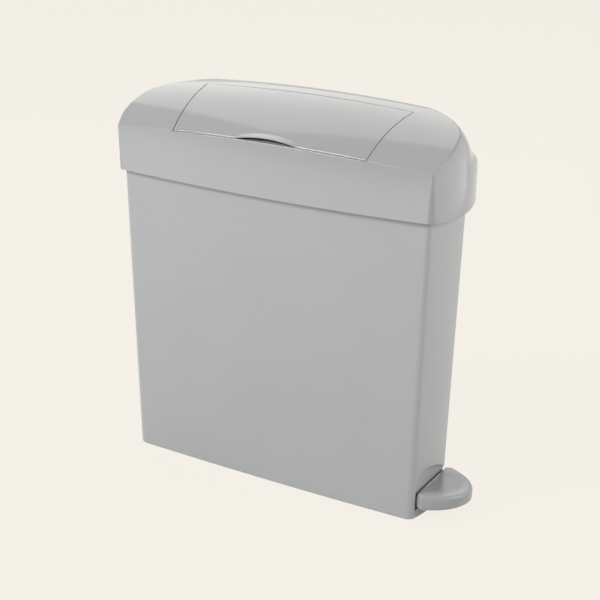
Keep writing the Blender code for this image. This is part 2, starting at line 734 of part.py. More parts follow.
def make_tub():
    """The tub: a tapered shell whose pedal end holds a bay with a slot, a cove and pin sockets."""
    rings = [tub_outline(0.0, TUB_BASE_ROUND)]
    for step in (1, 2, 3):
        angle = QUARTER * step / 3
        z = TUB_BASE_ROUND * (1 - math.cos(angle))
        rings.append([(x, y, z) for x, y, _ in tub_outline(z, TUB_BASE_ROUND * (1 - math.sin(angle)))])
    rings.append(tub_outline(TUB_RIM_HEIGHT, 0.0))
    tub = loft("body_shell", rings, PIECES, GREY_PLASTIC)
    inner = [tub_outline(TUB_FLOOR_THICKNESS, TUB_WALL), tub_outline(TUB_RIM_HEIGHT + CUT_OVERRUN, TUB_WALL)]
    cavity = loft("tub_cavity", inner)
    past_y = HOOD_HALF_DEPTH + CUT_OVERRUN
    past_x = TUB_HALF_LENGTH_FLOOR + TUB_BULGE + CUT_OVERRUN
    cut(cavity, box("bay_block", (BAY_INNER_X, -past_y, -CUT_OVERRUN), (past_x, past_y, BAY_TOP)))
    slot_top = PEDAL_TOP + BAY_SLOT_TOP_GAP
    slot_low = (BAY_INNER_X - CUT_OVERRUN, SLOT_FRONT_Y, BAY_SLOT_BOTTOM)
    slot = box("pedal_slot", slot_low, (past_x, SLOT_REAR_Y, slot_top))
    pocket_low = (BAY_INNER_X - CUT_OVERRUN, SLOT_FRONT_Y, slot_top + BAY_POCKET_MARGIN)
    pocket_high = (BAY_POCKET_X, SLOT_REAR_Y, BAY_TOP - BAY_POCKET_MARGIN)
    pocket = box("bay_pocket", pocket_low, pocket_high)
    cut(tub, cavity, slot, pocket, cove_cutter(past_x), socket_cutter())
    return tub


def tub_end(y, z):
    """X of the tub's bulged end wall at y and z."""
    share = z / TUB_REFERENCE_HEIGHT
    front = -TUB_FRONT_FLOOR - TUB_FRONT_GAIN * share
    rear = TUB_REAR_FLOOR + TUB_REAR_GAIN * share
    across = (2 * y - front - rear) / (rear - front)
    return TUB_HALF_LENGTH_FLOOR + TUB_HALF_LENGTH_GAIN * share + TUB_BULGE * (1 - across**2)


def cove_rise(y):
    """Height of the hollow over the pedal at y: steep at the front and falling off to the rear."""
    share = (y - SLOT_FRONT_Y + COVE_SIDE_MARGIN) / (SLOT_REAR_Y - SLOT_FRONT_Y + COVE_SIDE_MARGIN)
    share = min(max(share, 0), 1)
    return max(COVE_ARCH_SCALE * share**COVE_ARCH_POWER * (1 - share), COVE_LEAST_RISE)


def cove_cutter(past_x):
    """A hollow in the end wall over the pedal, as profiles strung from its front to its rear."""
    front = SLOT_FRONT_Y - COVE_SIDE_MARGIN
    rear = SLOT_REAR_Y + COVE_SIDE_MARGIN
    rings = []
    for i in range(ROUND_STEPS + 1):
        y = front + (rear - front) * (i / ROUND_STEPS) ** COVE_ARCH_STEP_POWER
        rise = cove_rise(y)
        wall = tub_end(y, PEDAL_TOP + rise)
        deep = max(wall - COVE_X, 0) + COVE_SPILL
        ring = [(past_x, y, PEDAL_BOTTOM), (COVE_X, y, PEDAL_BOTTOM)]
        for j in range(SECTION_STEPS + 1):
            share = math.sin(QUARTER * j / SECTION_STEPS)
            out = deep * (1 - math.sqrt(max(1 - share**2, 0)))
            ring.append((COVE_X + out, y, PEDAL_TOP + rise * share))
        ring.append((past_x, y, PEDAL_TOP + rise + COVE_SPILL))
        rings.append(ring)
    return loft("pedal_cove", rings)


def socket_cutter():
    """Grooves in the bay's cheeks that take the pivot pin from inside."""
    radius = PIN_RADIUS + RUNNING_CLEARANCE
    outline = circle_points(PIVOT_X, PIVOT_Z, radius, NOSE_STEPS, -QUARTER, 2 * QUARTER)
    inner = BAY_INNER_X - CUT_OVERRUN
    outline += [(inner, PIVOT_Z + radius), (inner, PIVOT_Z - radius)]
    width = SLOT_REAR_Y - SLOT_FRONT_Y + 2 * PIN_SOCKET_DEPTH
    base = (0, PEDAL_CENTRE_Y, 0)
    return to_mesh_object(plate("pin_grooves", outline, [], base, FACE_FRONT, width, CUTTERS))


def make_pivot_pin():
    """The cross pin and the two keepers that close its grooves."""
    start = SLOT_FRONT_Y - PIN_SOCKET_DEPTH + CLEARANCE
    length = SLOT_REAR_Y - SLOT_FRONT_Y + 2 * (PIN_SOCKET_DEPTH - CLEARANCE)
    base = (PIVOT_X, start, PIVOT_Z)
    cylinder("pedal_pin", PIN_RADIUS, base, length, ALONG_Y, PIECES, STEEL)
    reach = PIVOT_X - PIN_RADIUS - RUNNING_CLEARANCE - KEEPER_END_GAP
    half = PIN_RADIUS + RUNNING_CLEARANCE - CLEARANCE
    spans = {
        "pin_keeper_front": (start, SLOT_FRONT_Y - CLEARANCE),
        "pin_keeper_rear": (SLOT_REAR_Y + CLEARANCE, start + length),
    }
    for name, (low_y, high_y) in spans.items():
        low = (BAY_INNER_X, low_y, PIVOT_Z - half)
        box(name, low, (reach, high_y, PIVOT_Z + half), PIECES, INNER_PLASTIC)


def pedal_ring(z, inset, from_root=0.0):
    """The pedal's outline in plan at a height: flat at its root, round to its tip."""
    points = []
    half = PEDAL_HALF_WIDTH - inset
    length = PEDAL_LENGTH - inset - from_root
    steps = 2 * ROUND_STEPS
    power = 2 / PEDAL_OUTLINE_POWER
    for i in range(steps + 1):
        angle = -QUARTER + math.pi * i / steps
        out = length * abs(math.cos(angle)) ** power
        side = half * math.copysign(abs(math.sin(angle)) ** power, angle)
        points.append((PEDAL_ROOT_X + from_root + out, PEDAL_CENTRE_Y + side, z))
    return points


def pedal_skin_levels():
    """The pedal's heights and insets, from its rounded underside over the rim into the dished top."""
    height = PEDAL_TOP - PEDAL_BOTTOM
    height_and_width_shares = [
        (0.00, 0.105),
        (0.09, 0.050),
        (0.22, 0.015),
        (0.42, 0.000),
        (0.66, 0.010),
        (0.82, 0.045),
        (0.93, 0.085),
        (0.985, 0.125),
        (1.00, 0.165),
        (0.980, 0.215),
        (0.935, 0.30),
        (0.89, 0.42),
        (0.86, 0.56),
    ]
    rim_share = dict(height_and_width_shares)[1.00]
    levels = []
    for height_share, width_share in height_and_width_shares:
        inset = PEDAL_HALF_WIDTH * width_share
        from_root = max(inset - PEDAL_HALF_WIDTH * rim_share, 0)
        levels.append((PEDAL_BOTTOM + height * height_share, inset, from_root))
    return levels


def make_pedal():
    """The pedal: a dished tread, hollow underneath, with a neck and a hub on the pivot pin."""
    rings = [pedal_ring(*level) for level in pedal_skin_levels()]
    pedal = loft("pedal_tread", rings, PIECES, PEDAL_PLASTIC)
    low_inset = PEDAL_WALL + pedal_skin_levels()[0][1]
    hollow = loft("pedal_hollow", pocket_rings(low_inset, PEDAL_BOTTOM - CUT_OVERRUN, PEDAL_HOLLOW_TOP))
    rib_low = (PEDAL_ROOT_X - CUT_OVERRUN, ROD_Y - PEDAL_RIB_HALF, ARM_SEAT)
    rib = box("pedal_rib", rib_low, (PEDAL_RIB_END_X, ROD_Y + PEDAL_RIB_HALF, PEDAL_TOP))
    cut(hollow, rib)
    front = SLOT_FRONT_Y + PEDAL_SIDE_GAP + NECK_SIDE_INSET
    rear = SLOT_REAR_Y - PEDAL_SIDE_GAP - NECK_SIDE_INSET
    neck_low = (PIVOT_X + HUB_STAND, front + HUB_STAND, ARM_SEAT)
    neck_high = (PEDAL_ROOT_X + PEDAL_WALL / 2, rear - HUB_STAND, NECK_TOP)
    neck = box("pedal_neck", neck_low, neck_high)
    hub = cylinder("pedal_hub", HUB_RADIUS, (PIVOT_X, front, PIVOT_Z), rear - front, ALONG_Y)
    bore_base = (PIVOT_X, front - CUT_OVERRUN, PIVOT_Z)
    bore_length = rear - front + 2 * CUT_OVERRUN
    bore = cylinder("pedal_bore", PIN_RADIUS + RUNNING_CLEARANCE, bore_base, bore_length, ALONG_Y)
    half_channel = ARM_WIDTH / 2 + CLEARANCE
    channel_end = ARM_SCREW_X + ARM_SCREW_PITCH + ARM_END_MARGIN + CLEARANCE
    channel_low = (PIVOT_X - 2 * HUB_RADIUS, ROD_Y - half_channel, PEDAL_BOTTOM - CUT_OVERRUN)
    channel_high = (channel_end, ROD_Y + half_channel, ARM_TOP + CLEARANCE)
    cut(pedal, hollow)
    join(pedal, neck, hub)
    cut(pedal, bore, box("arm_channel", channel_low, channel_high))
    return pedal


def pocket_rings(inset, low, high):
    """The tread's outline set in and held off its root face, at two heights."""
    rings = []
    for z in (low, high):
        ring = pedal_ring(z, inset)
        rings.append([(max(x, PEDAL_ROOT_X + PEDAL_WALL), y, z) for x, y, z in ring])
    return rings


def make_pedal_arm(pedal):
    """The steel arm under the pedal: a flat bar whose round nose lifts the rod's shoe."""
    low = ARM_TOP - ARM_THICKNESS
    end = ARM_SCREW_X + ARM_SCREW_PITCH + ARM_END_MARGIN
    nose = circle_points(ROD_X, ARM_NOSE_Z, ARM_NOSE_RADIUS, NOSE_STEPS, 0.0, 1.5 * math.pi)
    outline = nose + [(ROD_X + ARM_NOSE_RADIUS, low), (end, low), (end, ARM_TOP)]
    outline += [(ROD_X + 2 * ARM_NOSE_RADIUS, ARM_TOP)]
    arm = plate("pedal_arm", outline, [], (0, ROD_Y, 0), FACE_FRONT, ARM_WIDTH, PIECES)
    arm = to_mesh_object(arm)
    arm.data.materials.append(STEEL)
    hole_radius = SCREW_SHANK_RADIUS + CLEARANCE
    for name, x in (("inner", ARM_SCREW_X), ("outer", ARM_SCREW_X + ARM_SCREW_PITCH)):
        hole_height = ARM_THICKNESS + SCREW_BITE + 3 * CLEARANCE
        hole_base = (x, ROD_Y, low - CLEARANCE)
        hole = cylinder("arm_hole_" + name, hole_radius, hole_base, hole_height, Euler(), steps=NOSE_STEPS)
        cut(arm, hole)
        cut(pedal, hole)
        screw("arm_screw_" + name, (x, ROD_Y, low - CLEARANCE), Euler(), ARM_THICKNESS + SCREW_BITE)
    return arm


def screw(name, seat, turn, length, shank=SCREW_SHANK_RADIUS, head=SCREW_HEAD_RADIUS, rise=SCREW_HEAD_HEIGHT):
    """A pan-head screw whose head seats on its base point, shank along its own +Z."""
    profile = [(0, length), (shank, length), (shank, 0), (head, 0), (head, -rise / 2)]
    profile += [(head * math.cos(math.pi / 6), -rise), (0, -rise)]
    return turned(name, profile, seat, turn, STEEL)


def cup_profile(radius, rounding):
    """A cup that takes the rod's end in its open side, standing on its closed one."""
    socket = ROD_RADIUS + CLEARANCE
    profile = [(0, SHOE_FLOOR), (socket, SHOE_FLOOR), (socket, SHOE_HEIGHT), (radius - rounding, SHOE_HEIGHT)]
    profile += [(radius, SHOE_HEIGHT - rounding), (radius, rounding), (radius - rounding, 0), (0, 0)]
    return profile


def make_rod():
    """The push rod with its shoe on the pedal arm and its cap under the crank."""
    turned("rod_shoe", cup_profile(SHOE_RADIUS, SHOE_ROUND), (ROD_X, ROD_Y, SHOE_BOTTOM), Euler(), INNER_PLASTIC)
    cap = cup_profile(CAP_RADIUS, CAP_ROUND)
    turned("rod_cap", cap, (ROD_X, ROD_Y, CAP_TOP), Euler((math.pi, 0, 0)), INNER_PLASTIC)
    low = SHOE_BOTTOM + SHOE_FLOOR + CLEARANCE
    high = CAP_TOP - SHOE_FLOOR - CLEARANCE
    cylinder("push_rod", ROD_RADIUS, (ROD_X, ROD_Y, low), high - low, Euler(), PIECES, STEEL)


def make_duct():
    """The panel, lid and guide that keep the rod apart from the bag."""
    inset = TUB_WALL + CLEARANCE
    low = TUB_FLOOR_THICKNESS + CLEARANCE
    top = DUCT_TOP - CLEARANCE
    outline = []
    for side, z in ((-1, low), (1, low), (1, top), (-1, top)):
        outline.append((tub_side(DUCT_X + DUCT_PANEL_THICKNESS, z, inset, side), z))
    base = (DUCT_X + DUCT_PANEL_THICKNESS / 2, 0, 0)
    panel = plate("duct_panel", outline, [], base, FACE_SIDE, DUCT_PANEL_THICKNESS)
    panel = to_mesh_object(panel)
    panel.data.materials.append(INNER_PLASTIC)
    for side in (-1, 1):
        middle = side * DUCT_RIB_SPREAD
        rib_low = (DUCT_X - DUCT_RIB_DEPTH, middle - DUCT_RIB_WIDTH / 2, low + CUT_OVERRUN)
        rib_high = (DUCT_X + DUCT_PANEL_THICKNESS / 2, middle + DUCT_RIB_WIDTH / 2, BAG_FRAME_BOTTOM - CUT_OVERRUN)
        join(panel, box("duct_rib", rib_low, rib_high))
    lid_rings = []
    for z in (DUCT_TOP, DUCT_TOP + DUCT_LID_THICKNESS):
        lid_rings.append([(x, y, z) for x, y, _ in tub_outline(DUCT_TOP, inset)])
    lid = loft("duct_lid", lid_rings, PIECES, INNER_PLASTIC)
    past = TUB_HALF_LENGTH_FLOOR + TUB_HALF_LENGTH_GAIN + TUB_BULGE + CUT_OVERRUN
    past_y = HOOD_HALF_DEPTH + CUT_OVERRUN
    keep(lid, box("lid_side", (DUCT_X, -past_y, DUCT_TOP - CUT_OVERRUN), (past, past_y, TUB_RIM_HEIGHT)))
    hole_radius = ROD_RADIUS + RUNNING_CLEARANCE
    cut(lid, cylinder("lid_hole", hole_radius, (ROD_X, ROD_Y, DUCT_TOP - CUT_OVERRUN), 3 * CUT_OVERRUN, Euler()))
    make_guide(panel, hole_radius)


def make_guide(panel, hole_radius):
    """The rod's lower guide, an angle bracket screwed to the duct panel."""
    face = DUCT_X + DUCT_PANEL_THICKNESS + CLEARANCE
    low = GUIDE_HEIGHT - GUIDE_FLANGE_HEIGHT / 2
    high = GUIDE_HEIGHT + GUIDE_FLANGE_HEIGHT / 2
    plate_low = GUIDE_HEIGHT - GUIDE_PLATE / 2
    plate_high = GUIDE_HEIGHT + GUIDE_PLATE / 2
    tip = ROD_X + GUIDE_REACH
    neck = face + GUIDE_FLANGE
    outline = [(face, low), (neck, low), (neck, plate_low), (tip, plate_low)]
    outline += [(tip, plate_high), (neck, plate_high), (neck, high), (face, high)]
    guide = plate("rod_guide", outline, [], (0, ROD_Y, 0), FACE_FRONT, 2 * GUIDE_HALF_WIDTH)
    guide = to_mesh_object(guide)
    guide.data.materials.append(INNER_PLASTIC)
    base = (ROD_X, ROD_Y, plate_low - CUT_OVERRUN)
    cut(guide, cylinder("guide_hole", hole_radius, base, GUIDE_PLATE + 2 * CUT_OVERRUN, Euler()))
    radius = SCREW_SHANK_RADIUS + CLEARANCE
    length = GUIDE_FLANGE + DUCT_PANEL_THICKNESS + 2 * CLEARANCE
    for name, side in (("low", -1), ("high", 1)):
        z = GUIDE_HEIGHT + side * GUIDE_SCREW_RISE
        start = (DUCT_X - CUT_OVERRUN, ROD_Y, z)
        hole = cylinder("guide_screw_hole_" + name, radius, start, 2 * CUT_OVERRUN, ALONG_X, steps=NOSE_STEPS)
        cut(panel, hole)
        cut(guide, hole)
        screw("guide_screw_" + name, (neck + CLEARANCE, ROD_Y, z), Euler((0, -QUARTER, 0)), length)


def make_bag_frame():
    """The loop that lies in the tub's taper and holds the bag's mouth."""
    inset = TUB_WALL + CLEARANCE
    bottom = BAG_FRAME_BOTTOM
    top = bottom + BAG_FRAME_THICKNESS
    frame = loft("bag_frame", [tub_outline(bottom, inset), tub_outline(top, inset)], PIECES, INNER_PLASTIC)
    past_y = HOOD_HALF_DEPTH + CUT_OVERRUN
    past_x = -HOOD_HALF_LENGTH - HOOD_END_BULGE - CUT_OVERRUN
    edge = DUCT_X - DUCT_RIB_DEPTH - CLEARANCE
    keep(frame, box("frame_side", (past_x, -past_y, 0), (edge, past_y, TUB_RIM_HEIGHT)))
    hole_rings = []
    for z in (bottom - CUT_OVERRUN, top + CUT_OVERRUN):
        hole_rings.append([(x, y, z) for x, y, _ in tub_outline(bottom, inset + BAG_FRAME_WIDTH)])
    hole = loft("frame_hole", hole_rings)
    hole_low = (past_x, -past_y, 0)
    keep(hole, box("frame_hole_side", hole_low, (edge - BAG_FRAME_WIDTH, past_y, TUB_RIM_HEIGHT)))
    cut(frame, hole)


def hanging_plate(name, x_low, thickness, half_width, material):
    """A plate under the hood's top with a bore on the hinge axis, its upper edge along the top's inside."""
    x_far = max(abs(x_low), abs(x_low + thickness))
    boss = circle_points(HINGE_Y, HINGE_Z, HINGE_BOSS_RADIUS, NOSE_STEPS, math.pi, math.pi)
    front = HINGE_Y - half_width
    rear = HINGE_Y + half_width
    top = []
    for i in range(SECTION_STEPS // 2 + 1):
        y = rear - (rear - front) * i / (SECTION_STEPS // 2)
        top.append((y, under_top(x_far, y) - CLEARANCE))
    bore = [(HINGE_Y, HINGE_Z, HINGE_PIN_RADIUS + RUNNING_CLEARANCE)]
    base = (x_low + thickness / 2, 0, 0)
    made = to_mesh_object(plate(name, boss + top, bore, base, FACE_SIDE, thickness))
    made.data.materials.append(material)
    return made


def make_hinge():
    """Brackets under the hood, lugs under the flap, headed pins and the crank, with the tray."""
    tray = make_tray()
    lug_x = TRAY_CHEEK_X + TRAY_CHEEK_THICKNESS + CLEARANCE
    bore_radius = TRAY_SCREW_SHANK + CLEARANCE
    for name, side in (("left", -1), ("right", 1)):
        bracket_low = BRACKET_X if side > 0 else -BRACKET_X - BRACKET_THICKNESS
        hanging_plate("hinge_bracket_" + name, bracket_low, BRACKET_THICKNESS, BRACKET_HALF_WIDTH, GREY_PLASTIC)
        lug_low = lug_x if side > 0 else -lug_x - LUG_THICKNESS
        lug = hanging_plate("flap_lug_" + name, lug_low, LUG_THICKNESS, LUG_HALF_WIDTH, GREY_PLASTIC)
        turn = ALONG_X if side > 0 else Euler((0, -QUARTER, 0))
        seat = side * (TRAY_CHEEK_X - CLEARANCE)
        at = (seat, HINGE_Y - TRAY_SCREW_BACK, HINGE_Z + TRAY_SCREW_RISE)
        hole = cylinder("tray_screw_hole_" + name, bore_radius, at, 2 * CUT_OVERRUN, turn, steps=NOSE_STEPS)
        cut(lug, hole)
        cut(tray, hole)
        length = TRAY_CHEEK_THICKNESS + LUG_THICKNESS
        sizes = (TRAY_SCREW_SHANK, TRAY_SCREW_HEAD, TRAY_SCREW_HEAD_HEIGHT)
        screw("tray_screw_" + name, at, turn, length, *sizes)
        end = CRANK_THICKNESS / 2 + ROD_X + PIN_HEAD_THICKNESS if side > 0 else BRACKET_X + BRACKET_THICKNESS
        end += PIN_HEAD_THICKNESS
        make_hinge_pin("hinge_pin_" + name, (seat, HINGE_Y, HINGE_Z), turn, end - abs(seat))
    make_crank()


def make_hinge_pin(name, seat, turn, length):
    """A headed pin along the hinge axis, its head inside the tray's cheek."""
    shank = HINGE_PIN_RADIUS
    head = PIN_HEAD_RADIUS
    profile = [(0, length), (shank, length), (shank, 0), (head, 0), (head, -PIN_HEAD_THICKNESS)]
    turned(name, profile + [(0, -PIN_HEAD_THICKNESS)], seat, turn, STEEL)


def crank_outline():
    """The crank at the middle of its swing, about the hinge axis: a hub, an arm and a nose that points down."""
    nose = (-CRANK_REACH, 0)
    nose_points = circle_points(*nose, CRANK_NOSE_RADIUS, NOSE_STEPS, QUARTER, 3 * QUARTER)
    hub_points = circle_points(0, 0, CRANK_HUB_RADIUS, NOSE_STEPS, math.pi, 3 * QUARTER)
    return nose_points + hub_points


def make_crank():
    """The crank on the right hinge pin, whose nose rides on the rod's cap."""
    lean = math.radians(FLAP_TRAVEL_DEG / 2)
    outline = []
    for across, up in crank_outline():
        y = HINGE_Y + across * math.cos(lean) - up * math.sin(lean)
        z = HINGE_Z + across * math.sin(lean) + up * math.cos(lean)
        outline.append((y, z))
    bore = [(HINGE_Y, HINGE_Z, HINGE_PIN_RADIUS + CLEARANCE)]
    plate("crank_arm", outline, bore, (ROD_X, 0, 0), FACE_SIDE, CRANK_THICKNESS, PIECES, INNER_PLASTIC)


def tray_curve(steps, set_in):
    """The tray's sheet seen from the side: an arc that bellies to the rear as it hangs down."""
    top = HINGE_Z - TRAY_TOP_DROP
    points = []
    for i in range(steps + 1):
        share = i / steps
        belly = TRAY_BACK * math.sin(math.pi * share)
        y = HINGE_Y + HINGE_BOSS_RADIUS + belly - HINGE_BOSS_RADIUS * share - set_in
        points.append((y, top - (TRAY_LENGTH - TRAY_TOP_DROP) * share))
    return points


def make_tray():
    """The tray that screens the contents, with a cheek at each end on the hinge pins."""
    outer = tray_curve(SECTION_STEPS, 0.0)
    inner = tray_curve(SECTION_STEPS, TRAY_SHEET)
    width = 2 * (TRAY_CHEEK_X + TRAY_CHEEK_THICKNESS)
    sheet = plate("modesty_tray", outer + inner[::-1], [], (0, 0, 0), FACE_SIDE, width)
    tray = to_mesh_object(sheet)
    tray.data.materials.append(INNER_PLASTIC)
    for name, side in (("left", -1), ("right", 1)):
        middle = side * (TRAY_CHEEK_X + TRAY_CHEEK_THICKNESS / 2)
        boss = circle_points(HINGE_Y, HINGE_Z, HINGE_BOSS_RADIUS + PIN_RADIUS, NOSE_STEPS, 0.0, math.pi)
        foot = (HINGE_Y - HINGE_BOSS_RADIUS, HINGE_Z - TRAY_LENGTH / 2)
        outline = boss + [foot] + [(y - TRAY_SHEET / 2, z) for y, z in tray_curve(SECTION_STEPS, 0.0)[::-1]]
        bore = [(HINGE_Y, HINGE_Z, HINGE_PIN_RADIUS + CLEARANCE)]
        cheek = plate("tray_cheek_" + name, outline, bore, (middle, 0, 0), FACE_SIDE, TRAY_CHEEK_THICKNESS, CUTTERS)
        join(tray, to_mesh_object(cheek))
    return tray


def main():
    top = hood_top_solid("hood_top_outer", 0.0, True)
    cavity = hood_cavity()
    make_hood(cavity, top)
    make_flap(cavity, top)
    make_tub()
    make_pivot_pin()
    pedal = make_pedal()
    make_pedal_arm(pedal)
    make_rod()
    make_duct()
    make_bag_frame()
    make_hinge()


main()
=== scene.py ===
"""Dresses a pedal-operated sanitary container in light grey moulded plastic and sets up its studio view.

Lengths are in metres. +X runs along the length towards the pedal, the front is at -Y and Z is up.
"""

import math

import bmesh
import bpy
import numpy as np
from mathutils import Matrix, Vector


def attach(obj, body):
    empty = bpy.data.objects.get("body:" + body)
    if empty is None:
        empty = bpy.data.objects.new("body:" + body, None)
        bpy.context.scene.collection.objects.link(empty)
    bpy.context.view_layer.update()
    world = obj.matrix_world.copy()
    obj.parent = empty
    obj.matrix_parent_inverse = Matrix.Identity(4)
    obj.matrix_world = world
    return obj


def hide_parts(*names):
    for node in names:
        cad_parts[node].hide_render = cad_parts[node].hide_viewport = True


bl_info = {
    "name": "Sanitary container",
    "version": (1, 0, 0),
    "blender": (4, 5, 0),
    "location": "3D View > Sidebar > Container",
    "description": "Builds a pedal-operated sanitary container, its finishes and its stage",
    "category": "Add Mesh",
}

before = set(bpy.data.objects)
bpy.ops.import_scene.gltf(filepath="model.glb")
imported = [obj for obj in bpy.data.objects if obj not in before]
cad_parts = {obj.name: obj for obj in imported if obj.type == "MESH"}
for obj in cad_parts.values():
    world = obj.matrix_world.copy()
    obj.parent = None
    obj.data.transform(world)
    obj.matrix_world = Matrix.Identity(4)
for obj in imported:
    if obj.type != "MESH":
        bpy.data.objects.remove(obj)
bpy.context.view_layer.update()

# A point of a rounded surface is found by halving a line: how deep it starts, where it ends past the sharp
# point, as a share of its length, and the number of halvings
CORE_DEPTH = 0.020
LINE_END = 1.15
HALVINGS = 34
# Points closer than this are one: where patches meet, and in a finished piece
PATCH_MERGE = 2e-6
PIECE_MERGE = 1e-7
SHARP_ANGLE = math.radians(40)


def smooth(low, high, value):
    """0 below low, 1 above high, and 3t^2 - 2t^3 between them."""
    t = np.clip((value - low) / (high - low), 0, 1)
    return t * t * (3 - 2 * t)


def linear(hex_colour):
    """An sRGB hex colour as linear RGBA: c / 12.92 below 0.04045, else ((c + 0.055) / 1.055)^2.4."""
    values = [int(hex_colour[i : i + 2], 16) / 255 for i in (1, 3, 5)]
    return [v / 12.92 if v <= 0.04045 else ((v + 0.055) / 1.055) ** 2.4 for v in values] + [1.0]


# ---- settings


def metres(name, description, default):
    """A length setting."""
    return bpy.props.FloatProperty(name=name, description=description, default=default, unit="LENGTH")


def hex_code(name, description, default):
    """A colour setting, written as sRGB hex."""
    return bpy.props.StringProperty(name=name, description="sRGB hex of the " + description, default=default)


class HoodSizes(bpy.types.PropertyGroup):
    """Sizes of the hood."""

    half_length: metres("Half length", "At the corners", 0.240)
    half_depth: metres("Half depth", "At the corners", 0.070)
    end_bulge: metres("End bulge", "How far the ends swell", 0.0127)
    side_bow: metres("Side bow", "How far front and rear swell", 0.0038)
    skirt: metres("Skirt height", "Lower edge at the corners", 0.4286)
    skirt_sag: metres("Skirt sag", "Drop of the lower edge in the middle", 0.0038)
    crease: metres("Crease height", "Front crease at the corners", 0.4912)
    crease_arch: metres("Crease arch", "Rise of the crease in the middle", 0.0098)
    ledge: metres("Ledge", "Width of the step over the front band", 0.0015)
    wall: metres("Wall", "Wall thickness", 0.003)


class FlapSizes(bpy.types.PropertyGroup):
    """Sizes of the flap."""

    front_half: metres("Front half width", "Half width at the crease", 0.1473)
    rear_half: metres("Rear half width", "Half width at the hinge side", 0.1609)
    rear: metres("Rear edge", "Distance of the rear edge from the middle", 0.033)
    gap: metres("Gap", "Gap round the flap", 0.0012)
    grip_half: metres("Grip half width", "Half width of the finger recess", 0.0465)
    grip_lift: metres("Grip lift", "Rise of the brow over the recess", 0.0054)
    grip_depth: metres("Grip depth", "How far back the brow runs out", 0.0096)


class TubSizes(bpy.types.PropertyGroup):
    """Sizes of the tub."""

    half_length: metres("Half length", "At the floor", 0.2257)
    length_gain: metres("Length gain", "Growth of the half length at the skirt", 0.0092)
    front: metres("Front", "Front wall at the floor", 0.0565)
    front_gain: metres("Front gain", "Lean of the front wall at the skirt", 0.0061)
    rear: metres("Rear", "Rear wall at the floor", 0.052)
    rear_gain: metres("Rear gain", "Lean of the rear wall at the skirt", 0.004)
    bulge: metres("End bulge", "How far the ends swell", 0.0083)
    bow: metres("Side bow", "How far front and rear swell", 0.0039)
    front_corner: metres("Front corner", "Corner radius", 0.008)
    rear_corner: metres("Rear corner", "Corner radius", 0.018)
    rim: metres("Rim", "Height of the rim", 0.458)
    wall: metres("Wall", "Wall thickness", 0.003)


class PedalSizes(bpy.types.PropertyGroup):
    """Sizes of the pedal."""

    middle: metres("Middle", "Its middle across the depth", -0.0015)
    half_width: metres("Half width", "Half width at the root", 0.046)
    length: metres("Length", "From root to tip", 0.059)
    root: metres("Root", "Where the tread starts", 0.2295)
    top: metres("Top", "Height of the rim", 0.040)
    bottom: metres("Bottom", "Height of the underside", 0.017)


class FinishSettings(bpy.types.PropertyGroup):
    """Colours of the plastics and the stage."""

    hood_hex: hex_code("Hood", "hood and flap", "#ACAEAE")
    tub_hex: hex_code("Tub", "tub", "#B8BABA")
    pedal_hex: hex_code("Pedal", "pedal", "#A9ACAC")
    inner_hex: hex_code("Inner pieces", "inner mouldings", "#8E9090")
    ground_hex: hex_code("Ground", "ground", "#F5F1E8")


# ---- mesh helpers


def sheet_faces(rows, columns, closed=False, looped=False):
    """Quads of a grid stored row by row: closed joins its sides, looped its last row to its first."""
    index = np.arange(rows * columns).reshape(rows, columns)
    if looped:
        index = np.vstack([index, index[:1]])
    if closed:
        index = np.hstack([index, index[:, :1]])
    a, b = index[:-1, :-1], index[:-1, 1:]
    c, d = index[1:, 1:], index[1:, :-1]
    return np.stack([a, b, c, d], -1).reshape(-1, 4).tolist()


def capped(grid):
    """A grid of points of shape (rows, columns, 3) closed round its columns, with a face over each end."""
    rows, columns = grid.shape[:2]
    last = (rows - 1) * columns
    caps = [list(range(columns))[::-1], list(range(last, last + columns))]
    return grid.reshape(-1, 3), sheet_faces(rows, columns, closed=True) + caps


def merged(*meshes):
    """Several (points, faces) as one."""
    points, faces, start = [], [], 0
    for more_points, more_faces in meshes:
        points.append(more_points)
        faces += [[i + start for i in face] for face in more_faces]
        start += len(more_points)
    return np.concatenate(points), faces


def build_mesh(name, points, faces, distance, finished=False):
    """A mesh in which points closer than the distance are one. When finished, its normals face out too."""
    mesh = bpy.data.meshes.new(name)
    mesh.from_pydata(points, [], faces)
    work = bmesh.new()
    work.from_mesh(mesh)
    bmesh.ops.remove_doubles(work, verts=work.verts, dist=distance)
    if finished:
        bmesh.ops.dissolve_degenerate(work, edges=work.edges, dist=distance)
        bmesh.ops.recalc_face_normals(work, faces=work.faces)
    work.to_mesh(mesh)
    work.free()
    return mesh


def weld(patches):
    """Joins grids of points of shape (rows, columns, 3) into one set of points and faces, edges merged."""
    sheets = [(grid.reshape(-1, 3), sheet_faces(*grid.shape[:2])) for grid in patches]
    mesh = build_mesh("weld", *merged(*sheets), PATCH_MERGE)
    points = np.zeros(len(mesh.vertices) * 3)
    mesh.vertices.foreach_get("co", points)
    faces = [list(face.vertices) for face in mesh.polygons]
    bpy.data.meshes.remove(mesh)
    return points.reshape(-1, 3), faces


def shell(outer, inner, faces):
    """Two skins with the same faces, joined by strips along every edge that only one face uses."""
    edges = np.array([(f[i], f[(i + 1) % len(f)]) for f in faces for i in range(len(f))])
    _, place, uses = np.unique(np.sort(edges, axis=1), axis=0, return_inverse=True, return_counts=True)
    start, end = edges[uses[place.reshape(-1)] == 1].T
    step = len(outer)
    strips = np.column_stack([end, start, start + step, end + step])
    back = [[i + step for i in reversed(f)] for f in faces]
    return np.concatenate([outer, inner]), faces + back + strips.tolist()


def new_object(name, data):
    """An object with that data, linked to the scene."""
    item = bpy.data.objects.new(name, data)
    bpy.context.scene.collection.objects.link(item)
    return item


